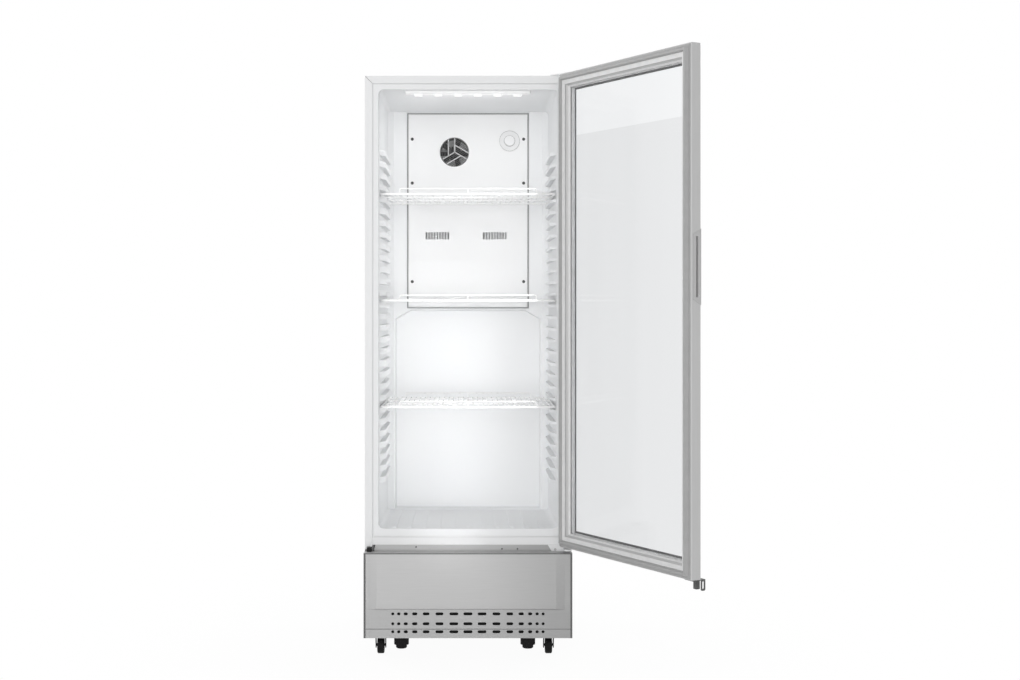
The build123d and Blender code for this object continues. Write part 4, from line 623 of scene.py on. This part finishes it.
# %% Glass and spacer
float_glass = finish("float_glass", (0.96, 0.965, 0.97), 0.0)
glass_shader = shader_of(float_glass)
glass_shader.inputs["Transmission Weight"].default_value = 1.0
glass_shader.inputs["IOR"].default_value = 1.16
glass_streaks = pattern(float_glass, 9, 2.0, (1, 1, 0.06))
mottle(float_glass, glass_streaks, (0.953, 0.958, 0.963), (0.965, 0.97, 0.975), 0.2, 0.8)
dress({"glass"}, float_glass)

spacer_metal = finish("spacer_metal", grey(0.9), 0.5)
spacer_brush = pattern(spacer_metal, 700, 3.0)
mottle(spacer_metal, spacer_brush, grey(0.88), grey(0.92))
grain(spacer_metal, spacer_brush, 0.00002)
dress({"spacer_grey"}, spacer_metal)

# %% [markdown]
# The lamp bar is milky plastic with light-emitting diodes behind its lenses. It
# is on, so bar and lenses glow a little. The light that they give to the cabin
# comes from the soft box that lies under them.

# %% Lamp
def glowing(name, strength):
    """Milky plastic that gives off its own white light, with cloudier parts in it."""
    material = finish(name, grey(0.9), 0.4)
    cloud = pattern(material, 60, 2.0)
    mottle(material, cloud, grey(0.88), grey(0.92))
    shader_of(material).inputs["Emission Color"].default_value = (1, 1, 1, 1)
    shader_of(material).inputs["Emission Strength"].default_value = strength
    return material


dress((), glowing("lamp_opal", 0.05), {"lamp_housing"})
dress({"lens_clear"}, glowing("lens_glow", 0.2))

# %% [markdown]
# ## Fine pieces
#
# The pieces that follow are thin seals, fixings and linings, and thin strips of painted light and
# shade. Each one is shaped by mesh operators in its final place, rides on the body that carries
# it, and takes a finish given here.

# %% Helpers for new pieces
merge_distance = 0.00001


def keep_piece(shape, name, material, body):
    """Turns a shape into a piece that moves with a body and takes the given finish."""
    bmesh.ops.recalc_face_normals(shape, faces=shape.faces)
    mesh = bpy.data.meshes.new(name)
    shape.to_mesh(mesh)
    shape.free()
    mesh.materials.append(material)
    piece = bpy.data.objects.new(name, mesh)
    bpy.context.scene.collection.objects.link(piece)
    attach(piece, body)
    print(name, len(mesh.polygons), "faces on", body)
    return piece


def facing_viewer(place):
    """The matrix that turns a shape's +Z towards the viewer and puts it at a place."""
    return Matrix.Translation(place) @ Matrix.Rotation(math.radians(90), 4, "X")


def profile_ring(low, high, profile, placed=None):
    """A frame round the rectangle from low to high, in X and Z.

    Its section is a closed line of points, each an inset from the rectangle and a Y. The
    section stands in one corner and is drawn out to the next one, four times. Each corner
    mirrors the one before it, so that all of them are mitred.
    """
    about_middle = Matrix.Translation(-(low + high) / 2)
    shape = bmesh.new()
    verts = [shape.verts.new((low.x + inset, y, low.z + inset)) for inset, y in profile]
    edges = [shape.edges.new(pair) for pair in zip(verts, verts[1:] + verts[:1])]
    for mirror in ((-1, 1, 1), (1, 1, -1)) * 2:
        drawn = bmesh.ops.extrude_edge_only(shape, edges=edges)["geom"]
        verts = [part for part in drawn if isinstance(part, bmesh.types.BMVert)]
        edges = [part for part in drawn if isinstance(part, bmesh.types.BMEdge)]
        bmesh.ops.scale(shape, vec=mirror, space=about_middle, verts=verts)
    bmesh.ops.remove_doubles(shape, verts=shape.verts, dist=merge_distance)
    if placed:
        bmesh.ops.transform(shape, matrix=placed, verts=shape.verts)
    return shape


def flat_section(inset, band, front, back):
    """The section of a flat ring: its inset, its width, and the Y of its two sides."""
    return ((inset, front), (inset + band, front), (inset + band, back), (inset, back))


def spin_line(shape, line, middle, steps, closed):
    """A line of points, each a radius and a Y, spun once round an axis along Y."""
    verts = [shape.verts.new((middle.x + radius, y, middle.z)) for radius, y in line]
    ends = verts[1:] + verts[:1] if closed else verts[1:]
    edges = [shape.edges.new(pair) for pair in zip(verts, ends)]
    bmesh.ops.spin(shape, geom=verts + edges, cent=middle, axis=(0, 1, 0), dvec=(0, 0, 0),
                   angle=math.radians(360), steps=steps, use_merge=True)
    bmesh.ops.remove_doubles(shape, verts=shape.verts, dist=merge_distance)


def thin_bar(shape, middle, length, width, rise, turn):
    """A thin bar, facing the viewer, turned by an angle round its middle."""
    bar = bmesh.ops.create_cube(shape, size=1.0)["verts"]
    bmesh.ops.scale(shape, vec=(length, width, rise), verts=bar)
    bmesh.ops.rotate(shape, cent=(0, 0, 0), verts=bar,
                     matrix=Matrix.Rotation(math.radians(turn), 3, "Z"))
    bmesh.ops.transform(shape, matrix=facing_viewer(middle), verts=bar)


def sunk_disc(shape, middle, radius, top_share, height, rim, sink, segments):
    """A low cone frustum that faces the viewer, its top inset by a rim and pushed in."""
    disc = bmesh.ops.create_cone(shape, cap_ends=True, segments=segments, radius1=radius,
                                 radius2=top_share * radius, depth=height,
                                 matrix=facing_viewer(middle))["verts"]
    top = min({face for vert in disc for face in vert.link_faces},
              key=lambda face: face.calc_center_median().y)
    bmesh.ops.inset_region(shape, faces=[top], thickness=rim)
    bmesh.ops.translate(shape, vec=(0, sink, 0), verts=top.verts)


# %% [markdown]
# The evaporator cover stands in a groove of the liner. A dark strip fills the groove as painted
# shade, where the groove lies in shadow. It is a flat ring with square corners, a little behind
# the cover's face.

# %% Painted shade round the evaporator cover
cover_low, cover_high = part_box("evaporator_cover")
groove_shade_gap = 0.0004
groove_shade_band = 0.0038
groove_shade_depth = 0.003
groove_shade_front = cover_high.y - 0.0002 - groove_shade_depth     # it stops just short of the liner
groove_shade = profile_ring(cover_low, cover_high,
                    flat_section(-groove_shade_gap - groove_shade_band, groove_shade_band, groove_shade_front,
                                 groove_shade_front + groove_shade_depth))
# painted shade: a dark ring in the groove
keep_piece(groove_shade, "cover_groove_shade", gasket_rubber, "cabinet")

# %% [markdown]
# Behind the fan guard the fan turns in a black plastic shroud, a short tube
# that narrows to the motor. A tube with a rolled mouth is a profile spun round
# the fan's axis, which is quicker and rounder than cutting a block.

# %% Fan shroud
rotor_low, rotor_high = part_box("evaporator_fan_rotor")
fan_middle = (rotor_low + rotor_high) / 2
shroud_radius = 0.0465
shroud_wall = 0.0015
motor_hole = 0.024
mouth = 0.004
shroud_front = cover_high.y + 0.0004
shroud_back = 0.2415
profile = (
    (shroud_radius + mouth, shroud_front),
    (shroud_radius, shroud_front + mouth),
    (shroud_radius, shroud_back),
    (motor_hole, shroud_back),
)
shape = bmesh.new()
spin_line(shape, profile, fan_middle, 64, closed=False)
bmesh.ops.recalc_face_normals(shape, faces=shape.faces)
bmesh.ops.solidify(shape, geom=shape.faces[:], thickness=shroud_wall)
keep_piece(shape, "fan_shroud", black_plastic, "cabinet")

# %% [markdown]
# The guard has three spokes and, beside each, a rib parallel to it that starts at the next spoke.
# Their front edges are lighter: a painted highlight. Each edge is a thin bar with its corners cut
# off, shaped once and turned round the fan's axis.

# %% Painted highlights on the edges of the fan guard
highlight_plastic = finish("highlight_plastic", grey(0.62), 0.45)
highlight_skin = pattern(highlight_plastic, 900, 2.0)
mottle(highlight_plastic, highlight_skin, grey(0.6), grey(0.64))
grain(highlight_plastic, highlight_skin, 0.00003)

guard_low, guard_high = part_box("fan_guard")
guard_radius = (guard_high.x - guard_low.x) / 2
guard_front = (fan_middle.x, guard_low.y - 0.0002, fan_middle.z)
edge_width = 0.0026
edge_height = 0.0006
rim_gap = 0.002
rib_offset = 0.02
spoke = (0.0015, guard_radius - rim_gap, 0.0)
rib = (-rib_offset / math.tan(math.radians(60)),
       math.sqrt(guard_radius ** 2 - rib_offset ** 2) - rim_gap, -rib_offset)
shape = bmesh.new()
for turn in (0, 120, 240):
    for start, end, offset in (spoke, rib):
        bar = bmesh.ops.create_cube(shape, size=1.0)["verts"]
        bmesh.ops.scale(shape, vec=(edge_width, end - start, edge_height), verts=bar)
        bmesh.ops.translate(shape, vec=(offset, (start + end) / 2, 0), verts=bar)
        place = facing_viewer(guard_front) @ Matrix.Rotation(math.radians(turn), 4, "Z")
        bmesh.ops.transform(shape, matrix=place, verts=bar)
bmesh.ops.bevel(shape, geom=shape.edges[:], offset=0.00012, segments=1, profile=0.5,
                affect="EDGES", material=-1)
keep_piece(shape, "guard_edge_highlights", highlight_plastic, "cabinet")

# %% [markdown]
# The thermostat dial has a fine grey line of painted shade at its rim and one round its knob.
# Each is a small square section spun round the dial's axis.

# %% Painted shade lines of the dial
dial_low, dial_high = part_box("thermostat_body")
knob_low, knob_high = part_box("thermostat_knob")
dial_middle = (dial_low + dial_high) / 2
line_width = 0.0009
line_depth = 0.0004
line_front = dial_low.y - 0.0002
rim_shade_line = (dial_high.x - dial_low.x) / 2 - 0.0016
knob_shade_line = (knob_high.x - knob_low.x) / 2 + 0.0008
shape = bmesh.new()
for radius in (rim_shade_line, knob_shade_line):
    section = flat_section(radius, line_width, line_front, line_front + line_depth)
    spin_line(shape, section, dial_middle, 48, closed=True)
keep_piece(shape, "dial_shade_lines", gasket_rubber, "cabinet")

# %% [markdown]
# A cross recess is cut in each screw head. At this scale two thin dark bars across the head,
# painted shade of the cut, read the same as a cut, and leave the head itself alone.

# %% Painted shade of the cross recesses
screws_low, screws_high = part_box("cover_screws")
head_radius = 0.0034
middle_row_drop = 0.1415
top_row = screws_high.z - head_radius
screw_places = [(side, level)
                for side in (screws_low.x + head_radius, screws_high.x - head_radius)
                for level in (top_row, top_row - middle_row_drop, screws_low.z + head_radius)]
recess_length = 0.004
recess_width = 0.0008
recess_rise = 0.0003
shape = bmesh.new()
for x, z in screw_places:
    for turn in (20, 110):
        thin_bar(shape, (x, screws_low.y - 0.0001, z), recess_length, recess_width,
                 recess_rise, turn)
keep_piece(shape, "screw_recess_shade", trim_plastic, "cabinet")

# %% [markdown]
# Under each head lies a dark cupped washer: a cone frustum, wider at its foot,
# whose top is sunk a little for the head.

# %% Cup washers
washer_radius = 0.0052
washer_height = 0.0008
shape = bmesh.new()
for x, z in screw_places:
    sunk_disc(shape, (x, cover_low.y - 0.0003, z), washer_radius, 0.84, washer_height,
              rim=0.0006, sink=0.0002, segments=28)
keep_piece(shape, "screw_washers", trim_plastic, "cabinet")

# %% [markdown]
# The bar under the cabin is riveted to the base. A blind rivet has a low round
# head with a sunk middle: a cone frustum, whose top face is inset and pushed in.

# %% Rivets on the front bar
bar_low, bar_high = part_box("front_cross_bar")
rivet_radius = 0.0026
rivet_height = 0.001
rivet_places = ((-0.151, 0.319), (0.099, 0.3135), (0.144, 0.3135))
shape = bmesh.new()
for x, z in rivet_places:
    sunk_disc(shape, (x, bar_low.y - 0.0006, z), rivet_radius, 0.6, rivet_height,
              rim=0.0006, sink=0.0006, segments=20)
keep_piece(shape, "bar_rivets", trim_plastic, "cabinet")

# %% [markdown]
# Behind the vents of the kick plate hangs a black mat, painted shade that makes the vents look
# black. It is a thin slab with rounded edges.

# %% Painted shade behind the vents
kick_low, kick_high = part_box("kick_plate")
mat_width = 0.49
mat_thickness = 0.004
mat_y = cabinet_front - 0.034
mat_low_z, mat_high_z = kick_low.z + 0.006, kick_low.z + 0.082
shape = bmesh.new()
thin_bar(shape, (0, mat_y, (mat_low_z + mat_high_z) / 2), mat_width, mat_high_z - mat_low_z,
         mat_thickness, 0)
bmesh.ops.bevel(shape, geom=shape.edges[:], offset=0.0012, segments=2, profile=0.5,
                affect="EDGES", material=-1)
keep_piece(shape, "vent_shade_mat", wheel_rubber, "cabinet")

# %% [markdown]
# The steel parts meet in seams: one across the kick plate, and one at 45 degrees in each top
# corner of the front flange. Each is darkened with painted shade, a thin dark-grey bar laid in the
# groove of the model.

# %% Painted shade in the seams
crease_z = kick_low.z + 0.026
kick_face = cabinet_front - 0.0435
side_trims = 0.012
crease_width = 0.0016
crease_depth = 0.0006
shape = bmesh.new()
thin_bar(shape, (0, kick_face + 0.0004, crease_z), kick_high.x - kick_low.x - side_trims,
         crease_width, crease_depth, 0)
keep_piece(shape, "kick_seam_shade", seam_shade, "cabinet")

flange_width = 0.022
mitre_length = math.sqrt(2) * flange_width - 0.004
mitre_width = 0.001
mitre_depth = 0.0005
shell_low, shell_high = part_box("outer_shell")
shape = bmesh.new()
for side in (-1, 1):
    middle = (side * (shell_high.x - flange_width / 2), cabinet_front + 0.0003,
              shell_high.z - flange_width / 2)
    thin_bar(shape, middle, mitre_length, mitre_width, mitre_depth, side * 45)
keep_piece(shape, "mitre_seam_shades", seam_shade, "cabinet")

# %% [markdown]
# The door was modelled swung open, so its seals are drawn on the closed door,
# whose frame is square, and turned about the hinge with one matrix. The glass
# is bedded in dark sealant, which shows as a thin line round each side of it.
# The vinyl seal has a lighter flap beside its crest, and the bead that holds the glass has a fine
# light edge: both are painted light, a lit flank and a painted highlight.

# %% Seals of the door
closed = opened.inverted()


def box_on_door(node):
    """The lowest and highest corner of a node of the door, with the door turned back to shut."""
    places = [closed @ vert.co for vert in frame["nodes"][node].data.vertices]
    low = Vector([min(place[i] for place in places) for i in range(3)])
    high = Vector([max(place[i] for place in places) for i in range(3)])
    return low, high


def line_round_door(name, section, material):
    """A frame on the door: each point is an inset from its edge and a height on its inner side."""
    points = [(inset, door_inner + rise) for inset, rise in section]
    ring = profile_ring(door_low, door_high, points, opened)
    return keep_piece(ring, name, material, "door")


stile_low, stile_high = box_on_door("door_stile_hinge")
free_low, free_high = box_on_door("door_stile_free")
door_low = Vector((free_low.x, 0, stile_low.z))
door_high = Vector((stile_high.x, 0, stile_high.z))
door_inner = stile_high.y
pane_edge = 0.0428
sealant_band = 0.0062
outer_pane_inside = box_on_door("door_glass_outer")[1].y - door_inner
line_round_door("sealant_line",
                flat_section(pane_edge, sealant_band, outer_pane_inside + 0.0006,
                             outer_pane_inside + 0.0001),
                trim_plastic)
line_round_door("seal_painted_light",
                ((0.0214, 0.0052), (0.0226, 0.0036), (0.0328, 0.003), (0.0328, 0.0022),
                 (0.0222, 0.0028), (0.021, 0.0044)),
                painted_light_vinyl)
line_round_door("bead_painted_highlight",
                ((0.0372, -0.0058), (0.0418, -0.0098), (0.0416, -0.0102), (0.037, -0.0062)),
                painted_light_vinyl)
print("door seals 3")
